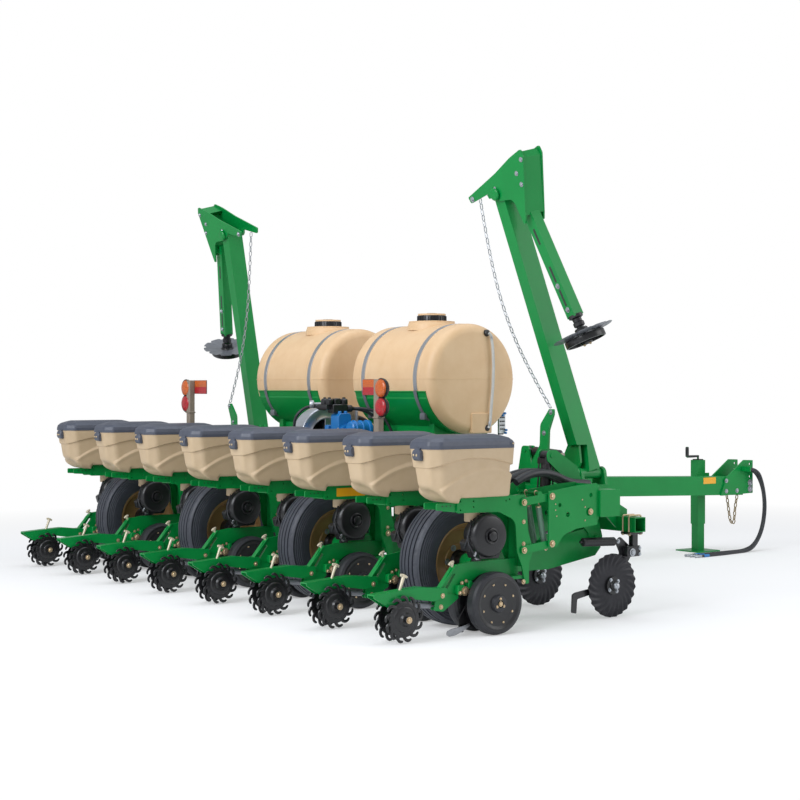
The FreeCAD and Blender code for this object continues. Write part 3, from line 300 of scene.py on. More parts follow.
def bolt(head, direction, across, height=None, washer=True):
    # a hexagon head with a chamfer on a washer
    height = height or across * 0.62
    d, side, up = basis(direction)
    angle = np.arange(6) * math.pi / 3
    ring = np.cos(angle)[:, None] * side + np.sin(angle)[:, None] * up
    levels = [(0.0, 1.0), (height * 0.8, 1.0), (height, 0.84)]
    points = np.stack([np.array(head) + d * along + ring * across * 0.577 * share for along, share in levels])
    shapes = [grid(points, wrapColumns=True, capRows=True)]
    if washer:
        rim = across * 0.92
        shapes.append(lathe([(rim, 0), (rim, height * 0.22), (0.001, height * 0.22)], head, direction, 10))
    return joined(shapes)


def bolts(spots, direction=(0, 1, 0), height=None, washer=True):
    # bolts that face one way, at (x, y, z, across)
    return [bolt((x, y, z), direction, across, height, washer) for x, y, z, across in spots]


def addObject(name, data):
    # a new object with this data, in the scene
    item = bpy.data.objects.new(name, data)
    bpy.context.scene.collection.objects.link(item)
    return item


def addPiece(name, shape, body, material, smooth=35, replaced=()):
    # puts a shape into a mesh that rides on a body; outward normals are settled once here
    points, faces = shape
    mesh = bpy.data.meshes.new(name)
    mesh.from_pydata(points.tolist(), [], faces)
    mesh.update()
    work = bmesh.new()
    work.from_mesh(mesh)
    bmesh.ops.recalc_face_normals(work, faces=work.faces)
    work.to_mesh(mesh)
    work.free()
    mesh.materials.append(material)
    if smooth:
        mesh.polygons.foreach_set("use_smooth", np.ones(len(mesh.polygons), bool))
        mesh.set_sharp_from_angle(angle=math.radians(smooth))
    piece = addObject(name, mesh)
    if body:
        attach(piece, body)
    if replaced:
        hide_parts(*replaced)
    return piece


# Camera, floor and lights
view = {"place": (-8.930, -10.811, 1.604), "heading": 36.23, "pitch": -0.5, "lens": 72.77}
heading, pitch = math.radians(view["heading"]), math.radians(view["pitch"])
lookAlong = Vector((math.sin(heading) * math.cos(pitch), math.cos(heading) * math.cos(pitch), math.sin(pitch)))
cameraData = bpy.data.cameras.new("camera")
cameraData.lens, cameraData.sensor_width = view["lens"], 36.0
cameraData.clip_end = 200
camera = addObject("camera", cameraData)
camera.location = view["place"]
camera.rotation_euler = lookAlong.to_track_quat("-Z", "Y").to_euler()
bpy.context.scene.camera = camera
bpy.context.scene.view_settings.view_transform = "Standard"


def lamp(name, place, aim, size, power, colour="#ffffff"):
    data = bpy.data.lights.new(name, "AREA")
    data.size, data.energy, data.color = size, power, linear(colour)[:3]
    light = addObject(name, data)
    light.location = place
    light.rotation_euler = (Vector(aim) - Vector(place)).to_track_quat("-Z", "Y").to_euler()


studio = {"worldLight": 0.55, "key": 1050, "top": 330, "fill": 420, "floorGrey": "#fafafa", "clearNear": 5.0,
          "clearFar": 9.0, "lift": 0.3}
world = bpy.data.worlds.new("studio")
bpy.context.scene.world = world
world.use_nodes = True
tree = world.node_tree
tree.nodes.clear()
lightPath = addNode(tree, "ShaderNodeLightPath")
seen = addNode(tree, "ShaderNodeMath", {"operation": "MAXIMUM"},
               {0: lightPath.outputs["Is Camera Ray"], 1: lightPath.outputs["Is Transmission Ray"]})
dome = addNode(tree, "ShaderNodeBackground", {"Color": linear("#f6f8fb"), "Strength": studio["worldLight"]})
white = addNode(tree, "ShaderNodeBackground", {"Color": (1, 1, 1, 1), "Strength": 1.0})
blendWorld = addNode(tree, "ShaderNodeMixShader", links={0: seen.outputs[0], 1: dome.outputs[0], 2: white.outputs[0]})
addNode(tree, "ShaderNodeOutputWorld", links={"Surface": blendWorld.outputs[0]})
lamp("key", (-12, -3, 7.5), (0, 0, 0.9), 7, studio["key"], "#f6f9ff")
lamp("top", (0, -1, 10), (0, -0.5, 0.8), 8, studio["top"], "#eef4ff")
lamp("fill", (8, -10, 6), (1, 0, 0.8), 8, studio["fill"])

# a matt white floor: its own light shows only to the camera and grows with distance, so it meets the background
floorPaint = bpy.data.materials.new("paleFloor")
floorPaint.use_nodes = True
tree = floorPaint.node_tree
tree.nodes.clear()
matt = addNode(tree, "ShaderNodeBsdfDiffuse", {"Color": linear(studio["floorGrey"])})
glow = addNode(tree, "ShaderNodeEmission", {"Color": (1, 1, 1, 1), "Strength": 1.0})
coords = addNode(tree, "ShaderNodeTexCoord")
reach = addNode(tree, "ShaderNodeVectorMath", {"operation": "LENGTH"}, {0: coords.outputs["Object"]})
spread = {"From Min": studio["clearNear"], "From Max": studio["clearFar"], "To Min": studio["lift"]}
far = addNode(tree, "ShaderNodeMapRange", spread, {"Value": reach.outputs["Value"]})
floorPath = addNode(tree, "ShaderNodeLightPath")
share = addNode(tree, "ShaderNodeMath", {"operation": "MULTIPLY"},
                {0: far.outputs["Result"], 1: floorPath.outputs["Is Camera Ray"]})
both = addNode(tree, "ShaderNodeMixShader", links={0: share.outputs[0], 1: matt.outputs[0], 2: glow.outputs[0]})
addNode(tree, "ShaderNodeOutputMaterial", links={"Surface": both.outputs[0]})
floorSize = 60.0
floorMesh = bpy.data.meshes.new("floor")
floorMesh.from_pydata([(x * floorSize, y * floorSize, 0) for x, y in ((-1, -1), (1, -1), (1, 1), (-1, 1))], [],
                      [(0, 1, 2, 3)])
floorMesh.materials.append(floorPaint)
floor = addObject("floor", floorMesh)
print("camera and studio ready")


# Hoses and chains: each follows one spline through its route's points
toolbarX = -1.287


def routeCurve(name, points, depth=0.0):
    curve = bpy.data.curves.new(name, "CURVE")
    curve.dimensions = "3D"
    spline = curve.splines.new("NURBS")
    spline.points.add(len(points) - 1)
    places = np.array([(x / 1000 + toolbarX, y / 1000, z / 1000, 1) for x, y, z in points])
    spline.points.foreach_set("co", places.ravel())
    spline.order_u = 3
    spline.use_endpoint_u = True
    spline.resolution_u = 14
    curve.bevel_depth, curve.bevel_resolution, curve.use_fill_caps = depth, 5, True
    return addObject(name, curve)


def routeLine(points):
    # the points of the route's spline, in order
    item = routeCurve("route", points)
    mesh = bpy.data.meshes.new_from_object(item)
    line = np.zeros(len(mesh.vertices) * 3)
    mesh.vertices.foreach_get("co", line)
    bpy.data.objects.remove(item)
    return line.reshape(-1, 3)


def alongLine(line, distances):
    # places and directions at distances along a line of points
    step = np.linalg.norm(np.diff(line, axis=0), axis=1)
    reach = np.concatenate([[0], np.cumsum(step)])
    behind, places, before = [np.stack([np.interp(distances + d, reach, line[:, k]) for k in range(3)], 1)
                              for d in (-0.004, 0, 0.004)]
    ahead = before - behind
    return places, ahead / np.linalg.norm(ahead, axis=1)[:, None]


def barLine(points):
    # a route's line in millimetres from the toolbar
    return routeLine(points) * 1000 - [toolbarX * 1000, 0, 0]


def lineLength(line):
    return float(np.linalg.norm(np.diff(line, axis=0), axis=1).sum())


def chainLinks(line, links):
    # links of a welded chain, every other one turned a quarter round the line
    wide, wire, pitch = links["wide"], links["wire"], links["pitch"]
    count = int(lineLength(line) / pitch)
    places, ahead = alongLine(line, (np.arange(count) + 0.5) * lineLength(line) / count)
    reference = np.linalg.svd(line - line.mean(0))[2][2]
    angle = np.linspace(0, 2 * math.pi, 14, endpoint=False)
    half, straight = (wide - wire) / 2, (pitch + wire - wide) / 2
    ring = np.stack([np.cos(angle) * half + np.sign(np.cos(angle)) * straight, np.sin(angle) * half], 1)
    shapes = []
    for k, (place, along) in enumerate(zip(places, ahead)):
        side = np.cross(along, reference)
        side /= np.linalg.norm(side)
        up = np.cross(along, side)
        across, square = (side, up) if k % 2 else (up, side)
        shapes.append(tube(place + ring[:, :1] * along + ring[:, 1:] * across, wire / 2, 6, closed=True,
                           reference=square))
    return joined(shapes)


hoses = {"radius": 13, "start": (4330.3, -129, 800), "apart": 30, "inward": -24, "sleeve": 0.0145}
for i in range(3):
    y = hoses["start"][1] - hoses["apart"] * i
    inward = hoses["inward"] * i
    route = [(hoses["start"][0], y, 800), (4450, y, 800), (4560 + inward, y - 20, 640), (4590 + inward, y - 26, 420),
             (4540 + inward, y - 30, 200), (4430 + inward, y - 34, 60), (4280, y - 40, 14),
             (4060, y - 46 - 12 * i, 14), (3800, y - 60 - 24 * i, 14), (3550, y - 50 - 30 * i, 14)]
    hose = routeCurve(f"hydraulic_hose_{i + 1}", route, hoses["radius"] / 1000)
    hose.data.materials.append(hoseRubber)
    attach(hose, "frame")
    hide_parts("hydraulic_hoses")
    end = np.array([3.550 + toolbarX, (y - 50 - 30 * i) / 1000, 0.0142])
    toward = np.array([-250, 10 - 6 * i, 0.0])
    toward /= np.linalg.norm(toward)
    tip = [(0.004, 0), (0.0125, 0.001), (0.0125, 0.03), (0.0136, 0.031), (0.0136, 0.044), (0.011, 0.046),
           (0.011, 0.058), (0.0128, 0.060), (0.0128, 0.082), (0.009, 0.089), (0.003, 0.089)]
    coupler = addPiece(f"hose_coupler_{i + 1}", lathe(tip, end, toward, 24), "frame", galvanised,
                       replaced=["hose_couplers"])
    line = routeLine(route)
    sleevePath = alongLine(line, lineLength(line) - np.linspace(0.10, 0.03, 8))[0]
    sleeve = addPiece(f"hose_sleeve_{i + 1}", tube(sleevePath, hoses["sleeve"], 14), "frame", pumpBlue)

airRoute = [(-240, -60, 1340), (-130, -60, 1340), (-25, -90, 1200), (25, -160, 1050), (58, -300, 960), (66, -480, 931),
            (62, -900, 930), (68, -1300, 932), (60, -1700, 930), (64, -2010, 931)]
airLine = routeLine(airRoute)
ripples = {"radius": 0.030, "pitch": 0.011, "depth": 0.0022}
steps = int(lineLength(airLine) / ripples["pitch"]) * 4
airPath = alongLine(airLine, np.linspace(0, lineLength(airLine), steps))[0]
ripple = ripples["radius"] - ripples["depth"] * (0.5 - 0.5 * np.cos(np.arange(steps) * math.pi / 2))
airHose = addPiece("air_hose_ribbed", tube(airPath, ripple, 16, reference=(0.35, 0.1, 0.93)), "frame", hoseRubber, 80,
                   ["air_hose"])

chain = {"wide": 0.029, "wire": 0.0075, "pitch": 0.042, "blendFrom": 0.7}
for word, side in (("left", 1), ("right", -1)):
    route = [(-182, 1618 * side, 2975), (-150, 1700 * side, 2500), (-110, 1850 * side, 2050), (-70, 2050 * side, 1700),
             (-40, 2235 * side, 1447.6)]
    line = routeLine(route)
    links = addPiece(f"marker_chain_links_{word}", chainLinks(line, chain), None, galvanised, 60,
                     [f"marker_chain_{word}"])
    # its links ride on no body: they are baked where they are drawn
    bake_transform(links)
heavyChain = {"wide": 0.034, "wire": 0.010, "pitch": 0.041}
safetyLine = routeLine([(4290, 66, 542), (4291, 46, 440), (4297, 34, 330), (4303, 20, 268), (4308, -14, 268),
                        (4308, -20, 330), (4305, -34, 440), (4302, -60, 542)])
safetyLinks = addPiece("safety_chain_links", chainLinks(safetyLine, heavyChain), "frame", goldChain, 60,
                       ["safety_chain"])
print("hoses and chains ready")


# Finishes of the CAD nodes
def repaint(name, material, others=()):
    # a node's own finish, and others where a test of the faces' centres says so
    mesh = nodes[name].data
    mesh.materials.clear()
    mesh.materials.append(material)
    centres = np.zeros(len(mesh.polygons) * 3)
    mesh.polygons.foreach_get("center", centres)
    centres = centres.reshape(-1, 3)
    index = np.zeros(len(mesh.polygons), np.int32)
    for k, (other, test) in enumerate(others):
        mesh.materials.append(other)
        index[test(centres - [toolbarX, 0, 0])] = k + 1
    mesh.polygons.foreach_set("material_index", index)


for name in ("toolbar", "tongue", "jack_leg", "wheel_arms", "parallel_linkages", "row_frames", "coulter_bars",
             "tank_cradles", "marker_arm_left", "marker_arm_right", "marker_outer_left", "marker_outer_right"):
    repaint(name, greenEnamel)
rowPitch = rowY[1] - rowY[0]


def fromMiddle(c):
    # a face's distance to the side of its row's middle
    return np.abs((c[:, 1] - rowY[0] + rowPitch / 2) % rowPitch - rowPitch / 2)


repaint("row_frames", greenEnamel, [
    (castBlack, lambda c: (c[:, 0] > -1.216) & (c[:, 0] < -1.02) & (c[:, 2] < 0.262) & (fromMiddle(c) < 0.0075)),
    (galvanised, lambda c: (c[:, 0] < -1.66) & (c[:, 0] > -1.71) & (c[:, 2] < 0.169) & (fromMiddle(c) > 0.03))])
for material, names in ((postPaint, ["lamp_posts"]), (meterPlastic, ["seed_meters"]), (hopperPlastic, ["hoppers"]),
                        (tankPlastic, ["tanks"]), (discSteel, ["opener_discs", "coulter_discs"]),
                        (blackEnamel, ["coulter_shanks", "lift_cylinders", "marker_cylinders"]),
                        (castBlack, ["marker_disc_left", "marker_disc_right"]),
                        (chromeRod, ["marker_rod_left", "marker_rod_right"])):
    for name in names:
        repaint(name, material)
repaint("fan_and_pump", blowerAlloy, [(pumpBlue, lambda c: c[:, 1] < -0.3)])
for i in range(rowCount):
    repaint(f"hopper_lid_{i + 1}", lidPlastic)
    repaint(f"gauge_wheels_{i + 1}", gaugeRubber)
    repaint(f"closing_wheels_{i + 1}", castBlack)
for i in range(4):
    repaint(f"transport_wheel_{i + 1}", tyreRubber)
print("node finishes ready")


# Pieces are worked out in millimetres from the toolbar's centre line
def fromBar(shapes, y=0.0):
    points, faces = joined(shapes)
    return points / 1000 + [toolbarX, y, 0], faces


def onRows(shapes):
    return joined([fromBar(shapes, y) for y in rowY])


def bothSides(shapes):
    one = joined(shapes)
    return [one, mirroredY(one)]


def barPiece(name, shapes, material, smooth=35, replaced=()):
    return addPiece(name, fromBar(shapes), "frame", material, smooth, replaced)


def rowPiece(name, shapes, material, smooth=35, replaced=()):
    return addPiece(name, onRows(shapes), "frame", material, smooth, replaced)


def sidePiece(name, shapes, material, smooth=35, replaced=()):
    return barPiece(name, bothSides(shapes), material, smooth, replaced)


def eachRow(pieces, replaces=False):
    # pieces for every row, on the row's own bodies: name to (shapes, body, material, smooth)
    for i in range(rowCount):
        for name, (shapes, body, material, smooth) in pieces.items():
            own = f"{body}_{i + 1}"
            addPiece(f"{name}_{i + 1}", fromBar(shapes, rowY[i]), own, material, smooth, [own] if replaces else ())


def turned(profile, x, y, z, steps=48, closed=False):
    # a (radius, y) profile turned about a line across the machine
    return lathe(profile, (x, y, z), (0, 1, 0), steps, closed)


def arcPoints(x, z, radius, start, end, count):
    # points of an arc in the xz plane, angles in degrees from forward, up positive
    angle = np.radians(np.linspace(start, end, count))
    return np.stack([x + radius * np.cos(angle), z + radius * np.sin(angle)], 1)


def band(x, z, radius, start, end, y0, y1, thick, count=40):
    # a strap bent round a drum: an arc of its section
    outer, inner = arcPoints(x, z, radius + thick, start, end, count), arcPoints(x, z, radius, end, start, count)
    return slab(np.concatenate([outer, inner]), y0, y1, bevel=0.8)


# Carrying wheels: ribbed implement tyres on dished rims
wheels = {"x": -915, "z": 430, "crown": 430, "half": 114, "grooves": (-58, -20, 20, 58), "grooveWide": 12,
          "grooveDeep": 15, "nicks": 30, "lugs": 6, "lugRadius": 102}


def tyreShape(y):
    # crown radius falls off with the square of the distance from the middle; grooves are cut square into it
    half, crown = wheels["half"], wheels["crown"]
    across = [-98, -91, -80]
    for middle in wheels["grooves"]:
        edge = wheels["grooveWide"] / 2
        across += [middle - edge - 1.6, middle - edge, middle - edge + 1.2, middle + edge - 1.2, middle + edge,
                   middle + edge + 1.6]
    across = np.array(across + [80, 91, 98], float)
    radius = crown - 6 * (across / 80) ** 2 - np.maximum(np.abs(across) - 80, 0) ** 1.25 * 0.3
    for k in range(len(wheels["grooves"])):
        radius[3 + 6 * k + 2:3 + 6 * k + 4] -= wheels["grooveDeep"]
        radius[[3 + 6 * k + 1, 3 + 6 * k + 4]] -= 1.2
    ripple = np.linspace(398, 268, 27)
    sideAt = half - 1.2 - np.where(ripple > 345, 2.4, 0.8) * (np.arange(27) % 3 == 1) - 8 * ((ripple - 335) / 70) ** 2
    outer = [(r, s) for r, s in zip(ripple, sideAt)]
    profile = np.array([(248, -84), (254, -92)] + [(r, -s) for r, s in outer[::-1]] + [(408, -107)]
                       + list(zip(radius, across)) + [(408, 107)] + outer + [(254, 92), (248, 84)])
    steps = 240
    angle = np.linspace(0, 2 * math.pi, steps, endpoint=False)[:, None]
    nick = ((np.arange(steps) % (steps // wheels["nicks"])) == 0)[:, None]
    shoulder = ((np.abs(profile[:, 1]) > 65) & (np.abs(profile[:, 1]) < 82) & (profile[:, 0] > 400))[None, :]
    radii = profile[None, :, 0] - 5 * (nick & shoulder)
    points = np.stack([wheels["x"] + radii * np.cos(angle), y + profile[None, :, 1] + 0 * angle,
                       wheels["z"] + radii * np.sin(angle)], -1)
    return grid(points, wrapRows=True, wrapColumns=True)


def rimShape(y, out):
    # flange lips, drop well and a dished web whose hollow faces out
    profile = [(240, -91), (256, -93), (262, -88), (258, -82), (246, -78), (242, -60), (222, -44), (222, 40),
               (242, 60), (246, 78), (258, 84), (266, 92), (262, 101), (252, 101), (244, 92), (236, 62), (220, 50),
               (214, 34), (190, 20), (120, 10), (112, 16), (78, 16), (78, 2), (118, 0), (196, 8), (214, -44),
               (234, -62), (238, -78)]
    return turned([(r, a * out) for r, a in profile], wheels["x"], y, wheels["z"], 72, closed=True)


def hubShape(y, out):
    profile = [(36, 88), (50, 88), (54, 82), (58, 30), (74, 10), (76, -20), (76, -60), (52, -70), (50, -92), (36, -92)]
    return [turned([(r, a * out) for r, a in profile], wheels["x"], y, wheels["z"], 40)]


for i in range(4):
    y = jointAt[f"transport_wheel_{i + 1}_spin"][1] * 1000
    out = 1 if y > 0 else -1
    body = f"transport_wheel_{i + 1}"
    addPiece(f"tyre_{i + 1}", fromBar([tyreShape(y)]), body, tyreRubber, 28, [body])
    addPiece(f"wheel_rim_{i + 1}", fromBar([rimShape(y, out)]), body, rimPaint, 30, [body])
    addPiece(f"wheel_hub_{i + 1}", fromBar(hubShape(y, out)), body, castBlack, 30)
    spots = arcPoints(wheels["x"], wheels["z"], wheels["lugRadius"], 0, 300, wheels["lugs"])
    addPiece(f"wheel_bolts_{i + 1}", fromBar([bolt((x, y + 15 * out, z), (0, out, 0), 24, 16) for x, z in spots]),
             body, galvanised, 30)
print("carrying wheels ready")

# Hoppers and lids: a moulded shell whose sides sink between an arched ledge and a ridge from the rear corner
hopper = {"rear": -1525, "front": -870, "half": 150, "baseHalf": 128, "rim": 1205, "base": 891.3, "cut": 62,
          "proud": 5, "sunk": 7, "wall": 7, "keel": 46}
arcSteps, straights = 5, (8, 40, 5, 6, 5, 40)


def hopperRing(z, grow):
    # the plan at height z, moved outwards by grow: front edge, side, cut corner, rear edge, cut corner, side
    share = (z - hopper["base"]) / (hopper["rim"] - hopper["base"])
    half = hopper["baseHalf"] + (hopper["half"] - hopper["baseHalf"]) * share + grow
    front, rear = hopper["front"] - 14 * (1 - share) + grow, hopper["rear"] + 46 * (1 - share) - grow
    cut = np.minimum(hopper["cut"], half - 22)
    columns = []
    corners = [(front, -half), (front, half), (rear + cut, half), (rear, half - cut), (rear, cut - half),
               (rear + cut, -half)]
    corners = [np.stack(np.broadcast_arrays(x, y), -1) for x, y in corners]
    ends = []
    for k, radius in enumerate((24, 24, 26, 26, 26, 26)):
        here, into, out = corners[k], corners[k - 1] - corners[k], corners[(k + 1) % 6] - corners[k]
        start = here + into / np.linalg.norm(into, axis=-1, keepdims=True) * radius
        end = here + out / np.linalg.norm(out, axis=-1, keepdims=True) * radius
        ends.append((start, end))
        columns.append([(1 - t) ** 2 * start + 2 * t * (1 - t) * here + t ** 2 * end
                        for t in np.linspace(0, 1, arcSteps)])
    ring = []
    for k in range(6):
        ring += columns[k]
        end, start = ends[k][1], ends[(k + 1) % 6][0]
        ring += [end + (start - end) * t for t in np.linspace(0, 1, straights[k] + 2)[1:-1]]
    return np.stack(ring, 0)


def hopperRows(z, grow):
    # one ring a row: z and grow are (rows, columns); each column keeps its own height
    own = np.arange(z.shape[1])
    flat = np.stack([hopperRing(heights, out)[own, own] for heights, out in zip(z, grow)])
    return np.concatenate([flat, z[..., None]], -1)


def hopperWall(inside):
    base = hopperRing(np.array(900.0), 0.0)
    x, count = base[:, 0], len(base)
    low = np.interp(x, [-1540, -1486, -1462, -1420, -1396, -1340, -1302, -1296, -860],
                    [977, 948, 925, 880, 866, 858, 858, 891.3, 891.3])
    round_ = np.interp(x, [-1340, -1240], [hopper["keel"], 14]) - 6 * inside
    floor = low + inside * hopper["wall"]
    ledge = 1145 - 0.000624 * (x + 1170) ** 2
    ridge = 1066 - np.where(x < -1035, 0.00084, 0.0021) * (x + 1035) ** 2
    start = floor + round_
    if inside:
        z = start + (hopper["rim"] - start) * np.linspace(1, 0, 10)[:, None]
        grow = np.full(z.shape, -float(hopper["sunk"] + hopper["wall"]))
    else:
        spans = [(np.full(count, float(hopper["rim"])), ledge + 3, 4), (ledge + 3, ledge - 2, 4),
                 (ledge - 2, ridge + 36, 7), (ridge + 36, ridge - 24, 12), (ridge - 24, start, 6)]
        z = np.concatenate([a + (b - a) * np.linspace(0, 1, n, endpoint=False)[:, None] for a, b, n in spans]
                           + [start[None]])
        z = np.maximum(z, start + 0.3 * np.arange(len(z))[::-1, None])
        step = np.clip((ledge + 3 - z) / 5, 0, 1)
        rise = np.clip((ridge + 32 - z) / 30, 0, 1)
        rise = rise * rise * (3 - 2 * rise)
        fade = np.clip((x + 1505) / 45, 0, 1)
        below = np.clip((ridge - z) / 24, 0, 1) * 4 * fade
        grow = hopper["proud"] - (hopper["proud"] + hopper["sunk"]) * step * (1 - rise) * fade - below
    turn = np.radians(np.linspace(0, 90, 7))[1:, None]
    z = np.concatenate([z, floor + round_ * (1 - np.sin(turn))])
    grow = np.concatenate([grow, grow[-1] - round_ * (1 - np.cos(turn))])
    points = hopperRows(z, grow)
    rows = len(points)
    faces = gridFaces(rows, count, False, True)
    last, mirror = (rows - 1) * count, straights[0] + 2 * arcSteps - 1
    sideStart, rearEnd = straights[0] + 2 * arcSteps - 1, sum(straights[:3]) + 4 * arcSteps - 1
    pair = [(last + k, last + (mirror - k) % count) for k in range(sideStart, rearEnd + 1)]
    faces += [[a, c, d, b] for (a, b), (c, d) in zip(pair, pair[1:])]
    faces.append([last + k for k in range(sideStart + 1)])
    return points.reshape(-1, 3), [face[::-1] for face in faces] if inside else faces, count


outerPoints, outerFaces, ringCount = hopperWall(0)
innerPoints, innerFaces, _ = hopperWall(1)
shift = len(outerPoints)
rimFaces = [[k, shift + k, shift + (k + 1) % ringCount, (k + 1) % ringCount] for k in range(ringCount)]
innerFaces = [[shift + k for k in face] for face in innerFaces]
shell = (np.concatenate([outerPoints, innerPoints]), outerFaces + innerFaces + rimFaces)
neck = lathe([(46, 0), (46, 118), (40, 118), (40, 4), (0.5, 4)], (-1045, -8, 785.3), (0, 0, 1), 28)
spout = lathe([(0.5, 800), (54, 800), (54, 733), (50, 728), (0.5, 728)], (-1087, 12, 0), (0, 0, 1), 28)
lug = rounded([(-873, 1135), (-841, 1175), (-841, 1240), (-859, 1240), (-859, 1204), (-873, 1204)], 4, 3)
lugs = [slab(lug, y, y + 12, bevel=1.5) for y in (-70, 58)]
rowPiece("hopper_shells", [shell, neck, spout] + lugs, hopperPlastic, 40, ["hoppers"])
plate = rounded([(6, 1132), (6, 1200), (-26, 1200), (-34, 1180), (-32, 1150), (-16, 1132)], 10)
latch = [slab(plate, -40, 40, bevel=8),
         slab(rounded([(2, 1192), (2, 1212), (-18, 1212), (-26, 1192)], 5), -26, 26, bevel=2)]
rowPiece("hopper_latches", [shifted(joined(latch), hopper["rear"])], lidPlastic, 40)
studs = [lathe([(8, 0), (8, 3), (5, 6), (0.2, 7)], (hopper["rear"] - 33, y, 1168), (-1, 0, 0), 12) for y in (-15, 15)]
rowPiece("latch_studs", studs, yellowZinc, 50)
boss = lathe([(15, -4), (15, 4), (12, 7), (0.2, 7)], (-892, 156, 1233), (0, 1, 0), 20)
screw = bolt((-892, 163, 1233), (0, 1, 0), 10, 5, False)
eachRow({"lid_boss": (bothSides([boss]), "hopper_lid", lidPlastic, 40),
         "lid_screw": (bothSides([screw]), "hopper_lid", yellowZinc, 30)})
print("hoppers ready")

# Seed meters: round ribbed covers with a centre knob, on a housing with a spout
meter = {"x": -1040, "z": 640, "ribs": 22}
cover = turned([(0.5, -150), (26, -150), (30, -148), (32, -143), (32, -128), (40, -128), (41, -137), (46, -139),
                (51, -137), (53, -128), (118, -126), (127, -123), (132, -117), (139, -108), (142, -98), (142, -80),
                (137, -77), (137, -72), (142, -69), (142, -54), (136, -49), (112, -44), (104, -36), (100, 30),
                (94, 44), (80, 48), (0.5, 48)], meter["x"], 0, meter["z"], 72)
ribs = []
for angle in roundAngles(meter["ribs"]):
    spot = np.array([meter["x"] + 141 * math.cos(angle), 0, meter["z"] + 141 * math.sin(angle)])
    along, across = np.array([math.cos(angle), 0, math.sin(angle)]), np.array([-math.sin(angle), 0, math.cos(angle)])
    corners = [spot + along * a + across * b for a, b in ((-6, -3.5), (3.5, -2.5), (3.5, 2.5), (-6, 3.5))]
    ribs.append(prism(corners, [(0, y, 0) for y in (-99, -52)]))
foot = [slab(rounded([(-1110, 492), (-955, 492), (-935, 545), (-1130, 545)], 10), -100, 30, bevel=3),
        slab(rounded([(-1108, 545), (-1134, 560), (-1160, 620), (-1190, 600), (-1172, 540)], 8), -70, 20, bevel=3)]
chute = slab([(-1085, 520), (-1015, 520), (-1037, 470.3), (-1097, 470.3)], -14, 14)
neckPipe = lathe([(33, 0), (33, 60), (38, 62), (38, 74), (33, 76), (33, 96)], (meter["x"] - 12, -8, meter["z"] + 92),
                 (0, 0, 1), 24)
rowPiece("seed_meter_covers", [cover] + ribs + foot + [chute, neckPipe], meterPlastic, 32, ["seed_meters"])
clips = [bolt((meter["x"] + 132 * math.cos(a), -104, meter["z"] + 132 * math.sin(a)), (0, -1, 0), 11, 7)
         for a in np.radians((40, 150, 215, 268, 325))]
wires = [tube([(-1180, -20, 560), (-1196, -60, 600), (-1190, -80, 660), (-1168, -70, 710), (-1140, -40, 740)], 5, 8),
         tube([(-1150, -90, 520), (-1180, -104, 548), (-1196, -90, 590), (-1188, -60, 640)], 4, 8),
         tube([(-940, 40, 560), (-905, 46, 620), (-900, 40, 700), (-930, 20, 770)], 6, 8)]
rowPiece("meter_screws", clips, meterPlastic, 30)
rowPiece("meter_leads", wires, hoseRubber, 60)
brackets = [slab(rounded([(-1112, 484), (-1060, 492), (-1040, 500), (-1082, 512), (-1126, 500)], 4), -60, -56),
            slab(rounded([(-1150, 508), (-1120, 560), (-1132, 566), (-1164, 520)], 4), -96, -93)]
rowPiece("meter_brackets", brackets, barePlate, 30)
print("seed meters ready")

# Row frames: bolts, adjusting handles, presser blade, rubber tube
railSide = 80
rowBolts = bolts([(-729, railSide, 713, 16), (-731, railSide, 569, 16), (-732, railSide, 320, 18), (-735, 93, 841, 24),
                  (-735, 93, 527, 24), (-1368, 38, 272, 18), (-1368, 20, 199, 18)])
rowBolts += bolts([(-1232, 45, 280, 16), (-1192, 45, 290, 34), (-1206, 30, 340, 15), (-1172, 30, 352, 13),
                   (-1100, 56, 345, 14)], height=11)
rowBolts += bolts([(-1687, 112, 152, 24)], height=12)
flange = [slab([(-1243, 457), (-1390, 287), (-1396, 292), (-1249, 462)], y, y + 15, bevel=1) for y in (-23, 8)]
flange += [slab([(x0, z0), (x1, z1), (x1 - 6, z1 + 5), (x0 - 6, z0 + 5)], -9, 9, bevel=1)
           for x0, z0, x1, z1 in ((-1243, 457, -1262, 435), (-1278, 416.5, -1290, 402.6), (-1350, 333.3, -1390, 287))]
rowPiece("shank_flanges", flange, greenEnamel, 30)
# a black strip set in each open slot of the flange: painted shade where the slot shows dark
slotShades = [slab([(-1256, 442), (-1354, 328.6), (-1357, 331.2), (-1259, 444.6)], -8, 8, bevel=0.5)]
rowPiece("flange_slots", slotShades, blackEnamel, 30)
rowPiece("row_bolts", bothSides(rowBolts), yellowZinc, 30)
handles = []
for foot, head, cross in (((-1244, 0, 424), (-1270, 0, 468), 26), ((-1681, 0, 322), (-1647, 0, 412), 32)):
    foot, head = np.array(foot, float), np.array(head, float)
    handles.append(tube([foot, foot * 0.5 + head * 0.5, head], [9, 10, 12], 12))
    lean = (head - foot) / np.linalg.norm(head - foot)
    bar = np.cross(lean, [0, 1.0, 0])
    handles.append(tube([head + bar * cross * share + lean * rise
                         for share, rise in ((-0.8, 0), (-0.3, 5), (0.3, 5), (0.8, 0))], 8.5, 10))
    handles.append(tube([head - [0, cross * 0.6, 0], head, head + [0, cross * 0.6, 0]], 8, 10))
rowPiece("adjusting_handles", handles, creamZinc, 50)
blade = slab(rounded([(-1136, 64), (-1146, 78), (-1206, 64), (-1292, 54), (-1328, 42), (-1332, 20), (-1312, 6),
                      (-1262, 10), (-1192, 34)], 8), -3, 3, bevel=1)
rowPiece("covering_blades", [shifted(blade, y=-30)], barePlate, 30)
springTube = [tube([(-1560, 30, 226), (-1480, 30, 214), (-1400, 30, 204)], 19, 18)]
rowPiece("arm_spring_covers", springTube, springSteel, 50)
